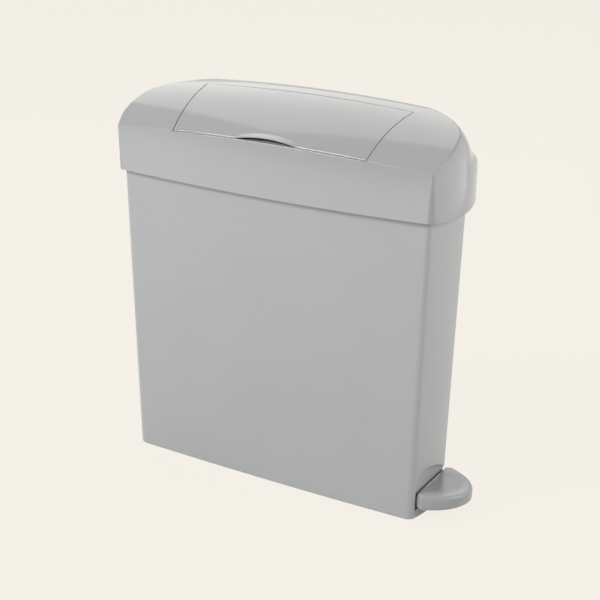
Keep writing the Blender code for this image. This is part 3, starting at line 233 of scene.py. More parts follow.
def make_piece(name, shape, body, look, replaced=()):
    """A smooth-shaded object from (points, faces), with a finish, riding on a body."""
    mesh = build_mesh(name, *shape, PIECE_MERGE, finished=True)
    mesh.polygons.foreach_set("use_smooth", [True] * len(mesh.polygons))
    piece = new_object(name, mesh)
    mesh.materials.append(finish(look))
    mesh.set_sharp_from_angle(angle=SHARP_ANGLE)
    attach(piece, body)
    if replaced:
        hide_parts(*replaced)


def halved(low, high, inside):
    """The last values from low to high that are still inside, by halving the way between them."""
    for _ in range(HALVINGS):
        middle = (low + high) / 2
        kept = inside(middle)
        low, high = np.where(kept, middle, low), np.where(kept, high, middle)
    return low


def climb(low, high, shares):
    """One row of values for each pair of low and high: low + (high - low) * share."""
    return low[:, None] + (high - low)[:, None] * shares[None, :]


def gradient(function, at, step=0.0004):
    """Slope of a function: its difference over a small step to either side."""
    return (function(at + step) - function(at - step)) / (2 * step)


# ---- hood

# The top: its crown, its rise from the ledge to a peak near the rear, how full that curve is and where the
# fullness turns, the fall behind the peak, and a height above it all
CROWN = 0.0112
TOP_RISE = 0.0459
PEAK_FROM_REAR = 0.018
FULLNESS = 0.42
FULLNESS_TURN = 0.45
FALL_BEHIND = 0.35
HIGHEST = 0.560
# The ends: a quarter ellipse from END_START up, left where its cosine is END_LAST for a straight slope
END_START = 0.500
END_RISE = 0.046
END_REACH = 0.050
END_LAST = 0.285
END_SLOPE = 0.2
# How the ends are drawn in towards the rear corners, and over what height that sets in
SWEEP_START = 0.484
SWEEP_SOFTENING = 0.004
SWEEP_RISE = 0.070
SWEEP_REACH = 0.044
SWEEP_POWER = 1.6
# Roundings: at the crease, their growth down to the skirt and its power, at the rear, between top and rear,
# and the least; and from where, over what depth, the front ones blend into the rear one
CREASE_ROUNDING = 0.0011
CORNER_GROWTH = 0.0060
CORNER_POWER = 0.7
REAR_ROUNDING = 0.0035
TOP_ROUNDING = 0.011
LEAST_ROUNDING = 0.0006
BLEND_FRONT = -0.060
BLEND_DEPTH = 0.105
# Distances of the rows of points from a rounded edge, and the height that the band's rows are shared over
FRONT_ROWS = np.array([0, 0.1, 0.24, 0.42, 0.64, 0.9, 1.2, 1.5, 1.9, 2.4, 3.1, 4.2, 5.8, 8, 11, 15]) / 1000
BAND_HEIGHT = 0.065
# From this share of the half depth the rows crowd towards the rear, and beside the flap towards its opening
REAR_START = 0.72
REAR_CROWDING = 1.35
SIDE_CROWDING = 1.9
# Before the flap the band is lower by the notch, and a lip runs back from it, up to a share of the way to
# the corners. In the finger recess it is deeper, by a factor on top of 1, and rises over a run by a power
NOTCH = 0.0017
LIP_END = 0.999
LIP_ROWS = np.array([0, 0.12, 0.26, 0.42, 0.6, 0.8, 1, 1.25]) * 0.0024
LIP_GROWTH = 2.6
LIP_LIFT = 0.0016
LIP_START = 0.0015
LIP_RUN = 0.008
LIP_POWER = 1.6
LIP_LIMIT = 0.012
# The front of the left end stands further out: this sets in along these distances and fades over these depths
LEFT_DRAW = 0.0028
LEFT_ALONG = (0.14, 0.222)
LEFT_DEPTH = (-0.060, -0.010)
# The flange under the hood: its seat over the tub's rim, its thickness, and its clearance from the inside
FLANGE_SEAT = 0.0003
FLANGE_THICKNESS = 0.003
FLANGE_CLEARANCE = 0.001
NEAR = 1e-5
MIRROR = (-1, 1, 1)


def hood_arch(x, hood):
    """1 in the middle of the length and 0 at the corners: 1 - (x / half length)^2."""
    return 1 - (x / hood.half_length) ** 2


def end_arch(y, hood):
    """The same across the depth: 1 - (y / half depth)^2."""
    return 1 - (y / hood.half_depth) ** 2


def crease_height(x, hood):
    """Height of the front crease: a parabola that is highest in the middle."""
    return hood.crease + hood.crease_arch * hood_arch(x, hood)


def hood_side(x, hood):
    """Half depth of the hood at x, bowed outwards by a parabola."""
    return hood.half_depth + hood.side_bow * hood_arch(x, hood)


def dome(x, y, hood):
    """Height of the top: crease + crown * arch + rise * share(t), t running from the ledge to the peak.

    share(t) = 1 - (1 - t)^2 + k t (1 - t)(c - t) up to the peak, and falls by the square behind it."""
    start = -hood_side(x, hood) + hood.ledge
    peak = hood.half_depth - PEAK_FROM_REAR
    t = np.maximum((y - start) / (peak - start), 0)
    ahead = np.minimum(t, 1)
    share = 1 - (1 - ahead) ** 2 + FULLNESS * ahead * (1 - ahead) * (FULLNESS_TURN - ahead)
    share = share - FALL_BEHIND * np.maximum(t - 1, 0) ** 2
    crown = hood.crease_arch + (CROWN - hood.crease_arch) * ahead
    return hood.crease + crown * hood_arch(x, hood) + TOP_RISE * share


def end_inset(z):
    """How far the ends curve in at a height: an ellipse, then a straight slope."""
    last = math.acos(END_LAST)
    top = END_START + END_RISE * math.sin(last)
    share = np.clip((z - END_START) / END_RISE, 0, math.sin(last))
    curved = END_REACH * (1 - np.sqrt(1 - share**2))
    return curved + np.maximum(z - top, 0) / END_SLOPE


def end_sweep(y, z, hood):
    """How far the ends are also drawn in towards the rear corner: reach * (1 - (1 - w)^2) * back^1.6.

    w grows with height from a softened start, and back runs from the middle to the rear."""
    over = z - SWEEP_START
    over = (over + np.sqrt(over**2 + SWEEP_SOFTENING**2)) / 2
    rise = np.clip(over / SWEEP_RISE, 0, 1)
    back = np.maximum(y / hood.half_depth, 0)
    return SWEEP_REACH * (1 - (1 - rise) ** 2) * back**SWEEP_POWER


def hood_end(y, z, hood):
    """Half length of the hood at y and z: bulged in plan, curved in and swept above the crease."""
    return hood.half_length + hood.end_bulge * end_arch(y, hood) - end_inset(z) - end_sweep(y, z, hood)


def skirt_line(x, y, hood):
    """Height of the lower edge: lower by the sag in the middle of each side and end."""
    return hood.skirt - hood.skirt_sag * np.clip(np.maximum(hood_arch(x, hood), end_arch(y, hood)), 0, 1)


def edge_radius(y, z, hood):
    """Rounding of the edges: crisp at the crease, wider down the corner, then front^(1 - t) * rear^t."""
    low = (hood.crease - z) / (hood.crease - hood.skirt)
    front = CREASE_ROUNDING + CORNER_GROWTH * np.clip(low, 0, 1) ** CORNER_POWER
    t = np.clip((y - BLEND_FRONT) / BLEND_DEPTH, 0, 1)
    return front ** (1 - t) * REAR_ROUNDING**t


def rounded(faces, radius):
    """Rounded intersection: root of the sum of squares of max(face + r, 0), less r."""
    raised = [np.maximum(face + radius, 0) for face in faces]
    return np.sqrt(sum(r**2 for r in raised)) - radius


def hood_level(points, inset, hood, cut):
    """Below 0 inside the hood: top and rear meet in a wide rounding, and front and ends in edge_radius.

    Each face gives (value - surface) / sqrt(1 + slopes^2) + inset, about the distance beyond it."""
    x, y, z = points.T
    side = hood_side(x, hood)
    lean = 2 * hood.side_bow * x / hood.half_length**2
    end = hood_end(y, z, hood)
    swell = gradient(lambda v: hood_end(v, z, hood), y)
    rise = gradient(lambda v: hood_end(y, v, hood), z)
    top = np.where(cut, crease_height(x, hood) - NOTCH, dome(x, y, hood))
    slope_x = gradient(lambda v: dome(v, y, hood), x)
    slope_y = gradient(lambda v: dome(x, v, hood), y)
    front_face, rear_face = (np.array([-y, y]) - side) / np.sqrt(1 + lean**2) + inset
    end_face = (np.abs(x) - end) / np.sqrt(1 + swell**2 + rise**2) + inset
    top_face = (z - top) / np.where(cut, 1, np.sqrt(1 + slope_x**2 + slope_y**2)) + inset
    crown = rounded([top_face, rear_face], max(TOP_ROUNDING - inset, LEAST_ROUNDING))
    radius = np.maximum(edge_radius(y, z, hood) - inset, LEAST_ROUNDING)
    return rounded([crown, front_face, end_face], radius)


def hood_skin(sharp, inset, hood, cut):
    """Slides each point of the sharp hood along a line from an inner core until hood_level is 0."""
    x, y, z = sharp.T
    side = hood_side(x, hood) - CORE_DEPTH
    core_y = np.clip(y, -side, side)
    reach = np.maximum(hood_end(y, z, hood) - CORE_DEPTH, 0)
    core_x = np.clip(x, -reach, reach)
    top = np.where(cut, crease_height(core_x, hood) - NOTCH, dome(core_x, core_y, hood))
    core_z = np.minimum(z, top - CORE_DEPTH)
    core = np.column_stack([core_x, core_y, core_z])

    def place(share):
        """Points at a share of the way from the core to the sharp hood."""
        return core + (sharp - core) * share[:, None]

    return place(halved(0 * x, LINE_END, lambda share: hood_level(place(share), inset, hood, cut) < 0))


def mitre_height(across, hood):
    """Height at which the end meets the top, by halving, for a share of the half depth."""

    def under_top(z):
        """Whether the end at that height is still under the top."""
        x = hood_end(across * hood.half_depth, z, hood)
        return z < dome(x, across * hood_side(x, hood), hood)

    return halved(hood.skirt, HIGHEST, under_top)


def flap_edge(y, flap, hood, gap=0.0):
    """Half length of the flap at y, straight between its front and rear corners."""
    front = -hood.half_depth
    return flap.front_half + (flap.rear_half - flap.front_half) * (y - front) / (flap.rear - front) + gap


def grip_arch(x, flap):
    """1 in the middle of the finger recess and 0 at its ends and beyond: 1 - (x / half width)^2."""
    return np.clip(1 - (x / flap.grip_half) ** 2, 0, 1)


def hood_patches(hood, flap):
    """The sharp hood as grids: front band, rear wall, two ends, and the top round the flap's opening."""

    def top_grid(x, levels):
        """Points of the top at x and at shares of the half depth there."""
        y = levels[:, None] * hood_side(x, hood)
        return np.stack([x, y, dome(x, y, hood)], -1)

    split = (flap.rear + flap.gap) / hood_side(0, hood)
    near = FRONT_ROWS / hood.half_depth - 1
    front_levels = np.hstack([near, np.linspace(near[-1], split, 34)[1:]])
    last = 1 - (1 - REAR_START) * (1 - np.linspace(0, 1, 24)) ** REAR_CROWDING
    rear_levels = np.hstack([np.linspace(split, REAR_START, 10)[:-1], last])
    across = np.hstack([front_levels, rear_levels[1:]])
    close = 1 - FRONT_ROWS[::-1] / BAND_HEIGHT
    heights = np.hstack([np.linspace(0, 0.1, 5), np.linspace(0.1, close[0], 30)[1:-1], close])
    mitre = mitre_height(across, hood)
    y = across * hood.half_depth
    mitre_x = hood_end(y, mitre, hood)
    z = climb(skirt_line(np.full_like(y, hood.half_length), y, hood), mitre, heights)
    x = hood_end(y[:, None], z, hood)
    right_end = np.stack([x, across[:, None] * hood_side(x, hood), z], -1)

    # Beside the flap's opening: the opening's edge depends on y, and y on x, so both are worked out twice
    share = np.linspace(0, 1, 40) ** SIDE_CROWDING
    corners = mitre_x[: len(front_levels)]
    y = front_levels * hood_side(corners, hood)
    for _ in range(2):
        x = climb(corners, flap_edge(y, flap, hood, flap.gap), share)
        y = front_levels * hood_side(x[:, -1], hood)
    right_top = top_grid(x, front_levels)

    corners = mitre_x[-len(rear_levels) :]
    ends = climb(corners, x[-1, -1], share)
    between = x[-1, -1] * np.linspace(1, -1, 60)[None, 1:-1] * np.ones((len(corners), 1))
    rear_top = top_grid(np.hstack([ends, between, -ends[:, ::-1]]), rear_levels)

    x_share = rear_top[-1, :, 0] / mitre_x[-1]
    low = skirt_line(x_share * hood.half_length, hood.half_depth, hood)
    z = climb(low, rear_top[-1, :, 2], heights)
    x = x_share[:, None] * hood_end(hood.half_depth, z, hood)
    rear_wall = np.stack([x, hood_side(x, hood), z], -1)

    front_x = right_top[0, :, 0]
    middle = front_x[-1] * np.hstack([LIP_END, np.linspace(1, -1, 80)[1:-1], -LIP_END])
    x = np.hstack([front_x, middle, -front_x[::-1]])
    top = crease_height(x, hood)
    top[len(front_x) : -len(front_x)] -= NOTCH
    z = climb(skirt_line(x, -hood.half_depth, hood), top, heights)
    x = np.broadcast_to(x[:, None], z.shape)
    band = np.stack([x, -hood_side(x, hood), z], -1)

    x = np.broadcast_to(middle[:, None], (len(middle), len(LIP_ROWS)))
    reach = 1 + LIP_GROWTH * grip_arch(x, flap) * LIP_ROWS / LIP_ROWS[-1]
    lip = np.stack([x, -hood_side(x, hood) + LIP_ROWS * reach, crease_height(x, hood) - NOTCH], -1)
    return [right_end, right_end * MIRROR, right_top, right_top * MIRROR, rear_top, rear_wall, band, lip]


def draw_left(points):
    """Moves the front of the left end out, as in the photograph: by the draw * a share of -x and of y."""
    x, y, z = points.T
    share = smooth(*LEFT_ALONG, -x) * (1 - smooth(*LEFT_DEPTH, y))
    return np.column_stack([x - LEFT_DRAW * share, y, z])


def hood_mesh(hood, flap):
    """The hood's two skins, from the sharp patches, joined round the opening and the lower edge."""
    sharp, faces = weld(hood_patches(hood, flap))
    x, y, z = sharp.T
    opening = flap_edge(-hood_side(x, hood), flap, hood, flap.gap)
    behind = y + hood_side(x, hood)
    cut = (np.abs(x) < opening - 2 * NEAR) & (behind < LIP_LIMIT)
    cut &= z < crease_height(x, hood) - NOTCH + NEAR
    lift = LIP_LIFT * grip_arch(x, flap) * np.clip((behind - LIP_START) / LIP_RUN, 0, 1) ** LIP_POWER
    raised = np.column_stack([0 * x, 0 * x, np.where(cut, lift, 0)])
    skins = (draw_left(hood_skin(sharp, inset, hood, cut) + raised) for inset in (0.0, hood.wall))
    return shell(*skins, faces)


def flange_mesh(hood, tub):
    """The inner flange that rests on the tub: a flat ring between the tub's inside and the hood's wall.

    The outer line lies in the same directions as the inner one, on a rectangle bowed as the hood is."""
    low = tub.rim + FLANGE_SEAT
    inner = tub_outline([tub.rim], tub.wall + FLANGE_CLEARANCE, tub)[0]
    angle = np.arctan2(inner[:, 1] / hood.half_depth, inner[:, 0] / hood.half_length)
    far = np.stack([np.cos(angle), np.sin(angle)], -1)
    far = far / np.abs(far).max(axis=1, keepdims=True)
    x, y = far.T * [[hood.half_length - hood.wall * 0.8], [hood.half_depth - hood.wall * 0.8]]
    at_end, at_side = (np.abs(far) > 0.999).T
    x = x + np.sign(x) * hood.end_bulge * end_arch(y, hood) * at_end
    y = y + np.sign(y) * hood.side_bow * hood_arch(x, hood) * at_side
    outer = np.column_stack([x, y])
    rings = np.stack([outer, inner, inner, outer]).reshape(-1, 2)
    z = np.repeat([low, low, low + FLANGE_THICKNESS, low + FLANGE_THICKNESS], len(x))
    return np.column_stack([rings, z]), sheet_faces(4, len(x), closed=True, looped=True)


# ---- flap

# Distances of the rows of points from the flap's edges, and the share of its depth with close rows
EDGE_ROWS = np.array([0, 0.08, 0.2, 0.4, 0.6, 0.8, 1.1, 1.6]) / 1000
BROW_SHARE = 0.14
# Roundings of the front edge and the others, the gaps to the ledge and over the lip, and how softly the brow
# runs out at its back and at its sides
FRONT_EDGE = 0.0008
OTHER_EDGES = 0.0005
LEDGE_GAP = 0.0001
LIP_CLEARANCE = 0.0004
BROW_SOFTENING = 0.05
BROW_SIDES = 0.02


def edge_fall(distance, radius):
    """How far a rounded edge has fallen at a distance inside it: r (1 - sqrt(1 - (1 - d / r)^2))."""
    share = np.clip(1 - distance / radius, 0, 1)
    return radius * (1 - np.sqrt(1 - share**2))


def flap_mesh(hood, flap):
    """The flap: the dome between its edges, raised over the finger recess into a brow.

    The brow adds lift * (1 - (x / w)^2) * (1 - s), s running back to a line that follows the arch. The inner
    skin is the dome less the wall, thinned where the lip of the band comes close."""
    near = EDGE_ROWS / (flap.rear + hood.half_depth)
    first = np.linspace(near[-1], BROW_SHARE, 26)[1:]
    rest = np.linspace(BROW_SHARE, 1 - near[-1], 40)[1:-1]
    back = np.hstack([near, first, rest, 1 - near[::-1]])
    grip = flap.grip_half / flap.front_half
    edge = 1 - EDGE_ROWS / flap.front_half
    beside = np.hstack([edge, np.linspace(edge[-1], grip, 26)[1:-1]])
    side = np.hstack([-beside, np.linspace(-grip, grip, 71), beside[::-1]])
    front = -hood_side(side * flap.front_half, hood) + hood.ledge + LEDGE_GAP
    y = climb(front, flap.rear, back)
    x = side[:, None] * flap_edge(y, flap, hood)
    arch = grip_arch(x, flap)
    reach = flap.grip_depth * np.sqrt(arch) + NEAR
    left = 1 - (y - front[:, None]) / reach
    brow = flap.grip_lift * arch * (left + np.sqrt(left**2 + BROW_SOFTENING**2)) / 2
    brow = brow * smooth(0, BROW_SIDES, arch)
    fall = np.maximum(edge_fall(y - front[:, None], FRONT_EDGE), edge_fall(flap.rear - y, OTHER_EDGES))
    fall = np.maximum(fall, edge_fall((1 - np.abs(side))[:, None] * flap.front_half, OTHER_EDGES))
    top = dome(x, y, hood)
    height = top + brow
    slope = gradient(lambda v: dome(x, v, hood), y, step=0.0005)
    room = top - crease_height(x, hood) + NOTCH - LIP_CLEARANCE
    thickness = np.minimum(hood.wall * np.sqrt(1 + slope**2), room)
    skins = (np.stack([x, y, height - less], -1).reshape(-1, 3) for less in (fall, thickness))
    return shell(*skins, sheet_faces(*x.shape))


# ---- tub

# The height at which the walls have gained what TubSizes gives, and the rounding under the walls, which
# fades out towards the middle of the base over these distances along X and Y
REFERENCE = 0.430
BASE_ROUND = 0.003
BASE_FADE = (0.2, 0.05)
# The pedal's slot in the right-hand end
SLOT_FRONT, SLOT_REAR = -0.0487, 0.0457
SLOT_LOW, SLOT_HIGH = 0.0130, 0.0406
# The hollow over the slot: where its floor lies along X, its wall as a share of the tub's, past where a point
# belongs to that end, how far it runs past the slot, and its rim's arch, by a scale, a power and a least
# rise; then the heights over which the flat sets in, and the distances outside and inside the slot's edges
COVE_FLAT = 0.2280
COVE_WALL = 0.9
PEDAL_SIDE = 0.15
COVE_MARGIN = 0.0015
ARCH_SCALE = 0.0565
ARCH_POWER = 0.25
ARCH_LEAST = 0.0008
COVE_FOOT = (0.0075, 0.0112)
COVE_OUTSIDE = 0.0035
COVE_INSIDE = 0.001
ROWS_LEVEL = 0.085
# How far the slot's edges lie into the tub's corners, where a column of points runs along each
FRONT_EDGE_IN = 0.0022
REAR_EDGE_IN = 0.0117
CORNER_SHRINK = 0.003
# How much further the rows beside the slot are lifted over its top, over what distance from it, and the
# height of the outline that tells where a column of points stands
BESIDE_RISE = 0.028
BESIDE_RUN = 0.012
GUIDE_HEIGHT = 0.05


def tub_outline(heights, inset, tub):
    """Outlines in plan, one per height: a rounded rectangle whose ends bulge and long sides bow.

    Each adds amount * (1 - s^2), s running from -1 to 1. One point of a corner lies at the slot's edge."""
    share = np.array(heights)[:, None] / REFERENCE
    half = tub.half_length + tub.length_gain * share - inset
    front = -tub.front - tub.front_gain * share + inset
    rear = tub.rear + tub.rear_gain * share - inset
    near = tub.front_corner - CORNER_SHRINK * np.clip(share, 0, 1) - min(inset, CORNER_SHRINK)
    far = tub.rear_corner - min(inset, CORNER_SHRINK)
    corners = (11, FRONT_EDGE_IN, tub.front_corner), (15, REAR_EDGE_IN, tub.rear_corner)
    front_turn, rear_turn = (
        np.sort(np.append(np.linspace(0, math.pi / 2, steps), math.asin(edge / radius)))
        for steps, edge, radius in corners
    )
    down = np.linspace(0, 1, 42)[1:-1]
    along = np.linspace(0, 1, 60)[1:-1]
    front_x, front_y = half - near + near * np.cos(front_turn), front + near - near * np.sin(front_turn)
    rear_x, rear_y = half - far + far * np.cos(rear_turn), rear - far + far * np.sin(rear_turn)
    # The right end with its corners, the rear, the left end as the right one mirrored, and the front
    end_x = np.hstack([front_x[:, ::-1], half + 0 * down, rear_x])
    end_y = np.hstack([front_y[:, ::-1], (front + near) + (rear - far - front - near) * down, rear_y])
    x = np.hstack([end_x, (half - far) * (1 - 2 * along), -end_x[:, ::-1], (half - near) * (2 * along - 1)])
    y = np.hstack([end_y, rear + 0 * along, end_y[:, ::-1], front + 0 * along])
    middle = (front + rear) / 2
    across = (y - middle) / ((rear - front) / 2)
    forth = x / half
    return np.stack([x + forth * tub.bulge * (1 - across**2), y + across * tub.bow * (1 - forth**2)], -1)


def cove_rise(y):
    """Height of the hollow over the pedal: scale * s^0.25 * (1 - s), s running from its front to its rear."""
    start = SLOT_FRONT - COVE_MARGIN
    share = np.clip((y - start) / (SLOT_REAR + COVE_MARGIN - start), 0, 1)
    return np.maximum(ARCH_SCALE * share**ARCH_POWER * (1 - share), ARCH_LEAST)


def cove(x, y, z, wall):
    """Pulls the pedal end in: flat beside the slot, then a quarter ellipse whose rim is the arch."""
    rise = cove_rise(y)
    share = np.clip((z - SLOT_HIGH) / rise, 0, 1)
    deep = np.maximum(x - COVE_FLAT + wall, 0)
    hollow = COVE_FLAT - wall + deep * (1 - np.sqrt(1 - share**2))
    reach = smooth(*COVE_FOOT, z) * smooth(SLOT_FRONT - COVE_OUTSIDE, SLOT_FRONT + COVE_INSIDE, y)
    reach = reach * (1 - smooth(SLOT_REAR - COVE_INSIDE, SLOT_REAR + COVE_OUTSIDE, y))
    inside = (x > PEDAL_SIDE) & (z < SLOT_HIGH + rise)
    return np.where(inside, x + (np.minimum(x, hollow) - x) * reach, x)


def tub_rows(tub, rise):
    """Heights of the tub's points, row by row: the rows over the slot follow the hollow's rim.

    The rim's height over the slot is given for each column, and the rows between are spaced as a sine."""
    low = BASE_ROUND * (1 - np.cos(np.linspace(0, math.pi / 2, 6)))
    foot = np.hstack([[0.006, 0.0085], np.linspace(SLOT_LOW - 0.0015, SLOT_LOW, 4)])
    slot = np.linspace(SLOT_LOW, SLOT_HIGH, 18)[1:]
    share = np.sin(np.linspace(0, math.pi / 2, 34))[1:]
    rim = SLOT_HIGH + rise[None, :] * share[:, None]
    over = climb(rim[-1], ROWS_LEVEL, np.linspace(0, 1, 14)[1:] ** 1.5).T
    flat = np.tile(np.hstack([low, foot, slot])[:, None], len(rise))
    high = np.tile(np.linspace(ROWS_LEVEL, tub.rim, 26)[1:, None], len(rise))
    return np.concatenate([flat, rim, over, high])


def tub_mesh(tub):
    """The tub's outer and inner skins, with the slot left open, and its floor.

    Each column of points runs straight from its place in the floor's outline to that at REFERENCE."""
    x, y = tub_outline([GUIDE_HEIGHT], 0.0, tub)[0].T
    away = np.where(x > PEDAL_SIDE, np.maximum(SLOT_FRONT - y, y - SLOT_REAR), BESIDE_RUN)
    beside = ARCH_LEAST + BESIDE_RISE * smooth(0.0, BESIDE_RUN, away)
    z = tub_rows(tub, np.where(away < 0.0005, cove_rise(y), beside))
    skins = []
    for inset in (0.0, tub.wall):
        height = np.maximum(z, inset)
        share = height / REFERENCE
        low, high = tub_outline([0.0, REFERENCE], inset, tub)
        x, y = (low[:, i] + (high[:, i] - low[:, i]) * share for i in (0, 1))
        if inset == 0.0:
            turn = BASE_ROUND - np.sqrt(np.maximum(BASE_ROUND**2 - np.maximum(BASE_ROUND - z, 0) ** 2, 0))
            x = x - turn * np.sign(x) * np.minimum(np.abs(x) / BASE_FADE[0], 1)
            y = y - turn * np.sign(y) * np.minimum(np.abs(y) / BASE_FADE[1], 1)
        points = np.stack([cove(x, y, height, inset * COVE_WALL), y, height], -1).reshape(-1, 3)
        skins.append(draw_left(points))
    faces = np.array(sheet_faces(*z.shape, closed=True))
    floor = list(range(z.shape[1]))[::-1]
    x, y, z = skins[0][faces].mean(1).T
    slot = (x > PEDAL_SIDE) & (y > SLOT_FRONT) & (y < SLOT_REAR) & (z > SLOT_LOW) & (z < SLOT_HIGH)
    return shell(*skins, faces[~slot].tolist() + [floor])


def block(low, high):
    """Points and faces of a box between two corners."""
    x, y, z = np.meshgrid(*[[a, b] for a, b in zip(low, high)], indexing="ij")
    points = np.column_stack([x.ravel(), y.ravel(), z.ravel()])
    faces = [[0, 1, 3, 2], [4, 6, 7, 5], [0, 4, 5, 1], [2, 3, 7, 6], [0, 2, 6, 4], [1, 5, 7, 3]]
    return points, faces


# The bay behind the slot: where its plates start and end along X, its foot and its roof; how much further
# out roof and shelves reach, how far before the slot's rear edge they end, and their gap to the slot
BAY_INNER, BAY_OUTER = 0.204, 0.2235
BAY_FOOT, BAY_ROOF = 0.004, 0.075
ROOF_REACH = 0.004
SHELF_REACH = 0.003
CORNER_ROOM = 0.0035
PLATE_GAP = 0.0002
PLATE_STEP = 0.0001


def bay_shelf(low, high, reach, tub):
    """A level plate across the bay, and a narrower one that carries it on into the tub's rounded corner."""
    last = SLOT_REAR - CORNER_ROOM
    front, rear = SLOT_FRONT - tub.wall / 2, SLOT_REAR + tub.wall / 2
    return [
        block((BAY_INNER, front, low), (BAY_OUTER + reach, last, high)),
        block(
            (BAY_INNER + PLATE_GAP, last - 0.001, low + PLATE_STEP),
            (BAY_OUTER - 0.002, rear, high - PLATE_STEP),
        ),
    ]


def bay_mesh(tub):
    """The housing behind the slot: cheeks, roof, a shelf over the pedal's neck, and a sill."""
    wall = tub.wall
    top = BAY_ROOF + wall
    return merged(
        block((BAY_INNER, SLOT_FRONT - wall, BAY_FOOT), (BAY_OUTER, SLOT_FRONT, top)),
        block((BAY_INNER, SLOT_REAR, BAY_FOOT), (BAY_OUTER - 0.004, SLOT_REAR + wall, top)),
        *bay_shelf(BAY_ROOF, BAY_ROOF + wall * 0.98, ROOF_REACH, tub),
        *bay_shelf(SLOT_HIGH + PLATE_GAP, SLOT_HIGH + wall, SHELF_REACH, tub),
        *bay_shelf(SLOT_LOW - wall, SLOT_LOW - PLATE_GAP, SHELF_REACH, tub),
    )


# ---- pedal

# The tread: its wall, the roof and edge of its hollow, its rounding, the step back of its root at top and
# bottom, and the rings of points over its top
TREAD_WALL = 0.003
HOLLOW_ROOF = 0.0065
HOLLOW_EDGE = 0.0078
TREAD_ROUND = 0.0066
ROOT_TOP = 0.0016
ROOT_LOW = 0.0008
DISH_RINGS = 26
# Its plan is |cos|^p, |sin|^p. Shoulders widen it past the root, and the edges are tighter beside the root
PLAN_POWER = 2 / 1.8
SHOULDER = 0.10
SHOULDER_RUN = 0.15
TIGHT = 0.35
TIGHT_RUN = 0.45
# The underside rises towards the tip, and the dish sinks round a place on the middle line
TIP_RISE = 0.0035
DISH_DEPTH = 0.0020
DISH_MIDDLE = 0.30
DISH_LENGTH = 0.50
DISH_WIDTH = 0.80
RINGS_MIDDLE = 0.36
# The neck behind the root, and the hub that turns on the cross pin
NECK_BACK = 0.2172
NECK_LOW, NECK_HIGH = 0.0204, 0.036
HUB_CENTRE = (0.216, 0.028)
HUB_RADIUS = 0.0067
HUB_INSET = 0.004


def pedal_profile(pedal):
    """The tread's section from its hollow to its dish: height, inset, root inset, and share of the way in."""
    hollow_top = pedal.top - HOLLOW_ROOF
    line = [
        (hollow_top, HOLLOW_EDGE, TREAD_WALL, 0.80),
        (hollow_top, HOLLOW_EDGE, TREAD_WALL, 0.10),
        (hollow_top - 0.002, HOLLOW_EDGE, TREAD_WALL, 0.0),
        (pedal.bottom + 0.0004, HOLLOW_EDGE, TREAD_WALL, 0.0),
        (pedal.bottom, HOLLOW_EDGE - 0.0006, TREAD_WALL - 0.0004, 0.0),
    ]
    for angle in np.linspace(0, math.pi / 2, 10):
        rise, fall = 1 - math.cos(angle), 1 - math.sin(angle)
        line.append((pedal.bottom + TREAD_ROUND * rise, TREAD_ROUND * fall, ROOT_LOW * fall, 0.0))
    for angle in np.linspace(0, math.pi / 2, 16):
        rise, fall = 1 - math.sin(angle), 1 - math.cos(angle)
        line.append((pedal.top - TREAD_ROUND * rise, TREAD_ROUND * fall, ROOT_TOP * fall, 0.0))
    for t in np.linspace(0, 1, DISH_RINGS)[1:]:
        line.append((pedal.top, TREAD_ROUND, ROOT_TOP, t * 0.985))
    return np.array(line)


def pedal_mesh(pedal):
    """The tread: rings of |cos|^p, |sin|^p round the profile, that shrink to a point for the dish.

    The dish is lowered by depth * (1 - smooth(d)), d being the squared distance from its middle."""
    line = pedal_profile(pedal)
    angle = np.linspace(-math.pi / 2, math.pi / 2, 97)
    out = (np.abs(np.cos(angle)) ** PLAN_POWER)[None, :]
    side = (np.sign(angle) * np.abs(np.sin(angle)) ** PLAN_POWER)[None, :]
    z, inset, root, way = (line[:, i][:, None] for i in range(4))
    tight = TIGHT + (1 - TIGHT) * smooth(0.0, TIGHT_RUN, out)
    shoulder = 1 + SHOULDER * smooth(0.0, SHOULDER_RUN, out)
    round_x = pedal.root + root + (pedal.length - inset - root) * out
    round_y = pedal.middle + (pedal.half_width * shoulder - inset * tight) * side
    steps = np.linspace(1, -1, 34)[None, 1:-1]
    x = np.hstack([round_x, pedal.root + root + 0 * steps])
    y = np.hstack([round_y, pedal.middle + (pedal.half_width - inset * TIGHT) * steps])
    x = x + (pedal.root + RINGS_MIDDLE * pedal.length - x) * way
    y = y + (pedal.middle - y) * way
    far = np.clip((x - pedal.root) / pedal.length, 0, 1)
    z = z + TIP_RISE * far**2 * np.clip((pedal.top - z) / (pedal.top - pedal.bottom), 0, 1)
    along = (x - pedal.root - DISH_MIDDLE * pedal.length) / (DISH_LENGTH * pedal.length)
    across = (y - pedal.middle) / (DISH_WIDTH * pedal.half_width)
    dished = np.arange(len(line))[:, None] > len(line) - DISH_RINGS
    z = z - np.where(dished, DISH_DEPTH * (1 - smooth(0.05, 1.0, along**2 + across**2)), 0)
    return capped(np.stack([x, y, z], -1))


def neck_and_hub(pedal):
    """The flat neck between the tread's root and the hub, and the hub: a block and a barrel."""
    half = pedal.half_width - HUB_INSET
    front, rear = pedal.middle - half, pedal.middle + half
    neck = block((NECK_BACK, front + 0.001, NECK_LOW), (pedal.root + 0.0015, rear - 0.001, NECK_HIGH))
    return merged(neck, barrel(front, rear, HUB_CENTRE, HUB_RADIUS))


def barrel(low, high, centre, radius, steps=48, bevel=0.0004):
    """A closed cylinder along Y, r cos and r sin round its centre, bevelled at each end."""
    turn = np.linspace(0, 2 * math.pi, steps, endpoint=False)
    y = np.array([low, low + bevel, high - bevel, high])[:, None]
    r = np.array([radius - bevel, radius, radius, radius - bevel])[:, None]
    return capped(np.stack([centre[0] + r * np.cos(turn), y + 0 * turn, centre[1] + r * np.sin(turn)], -1))


# ---- finishes

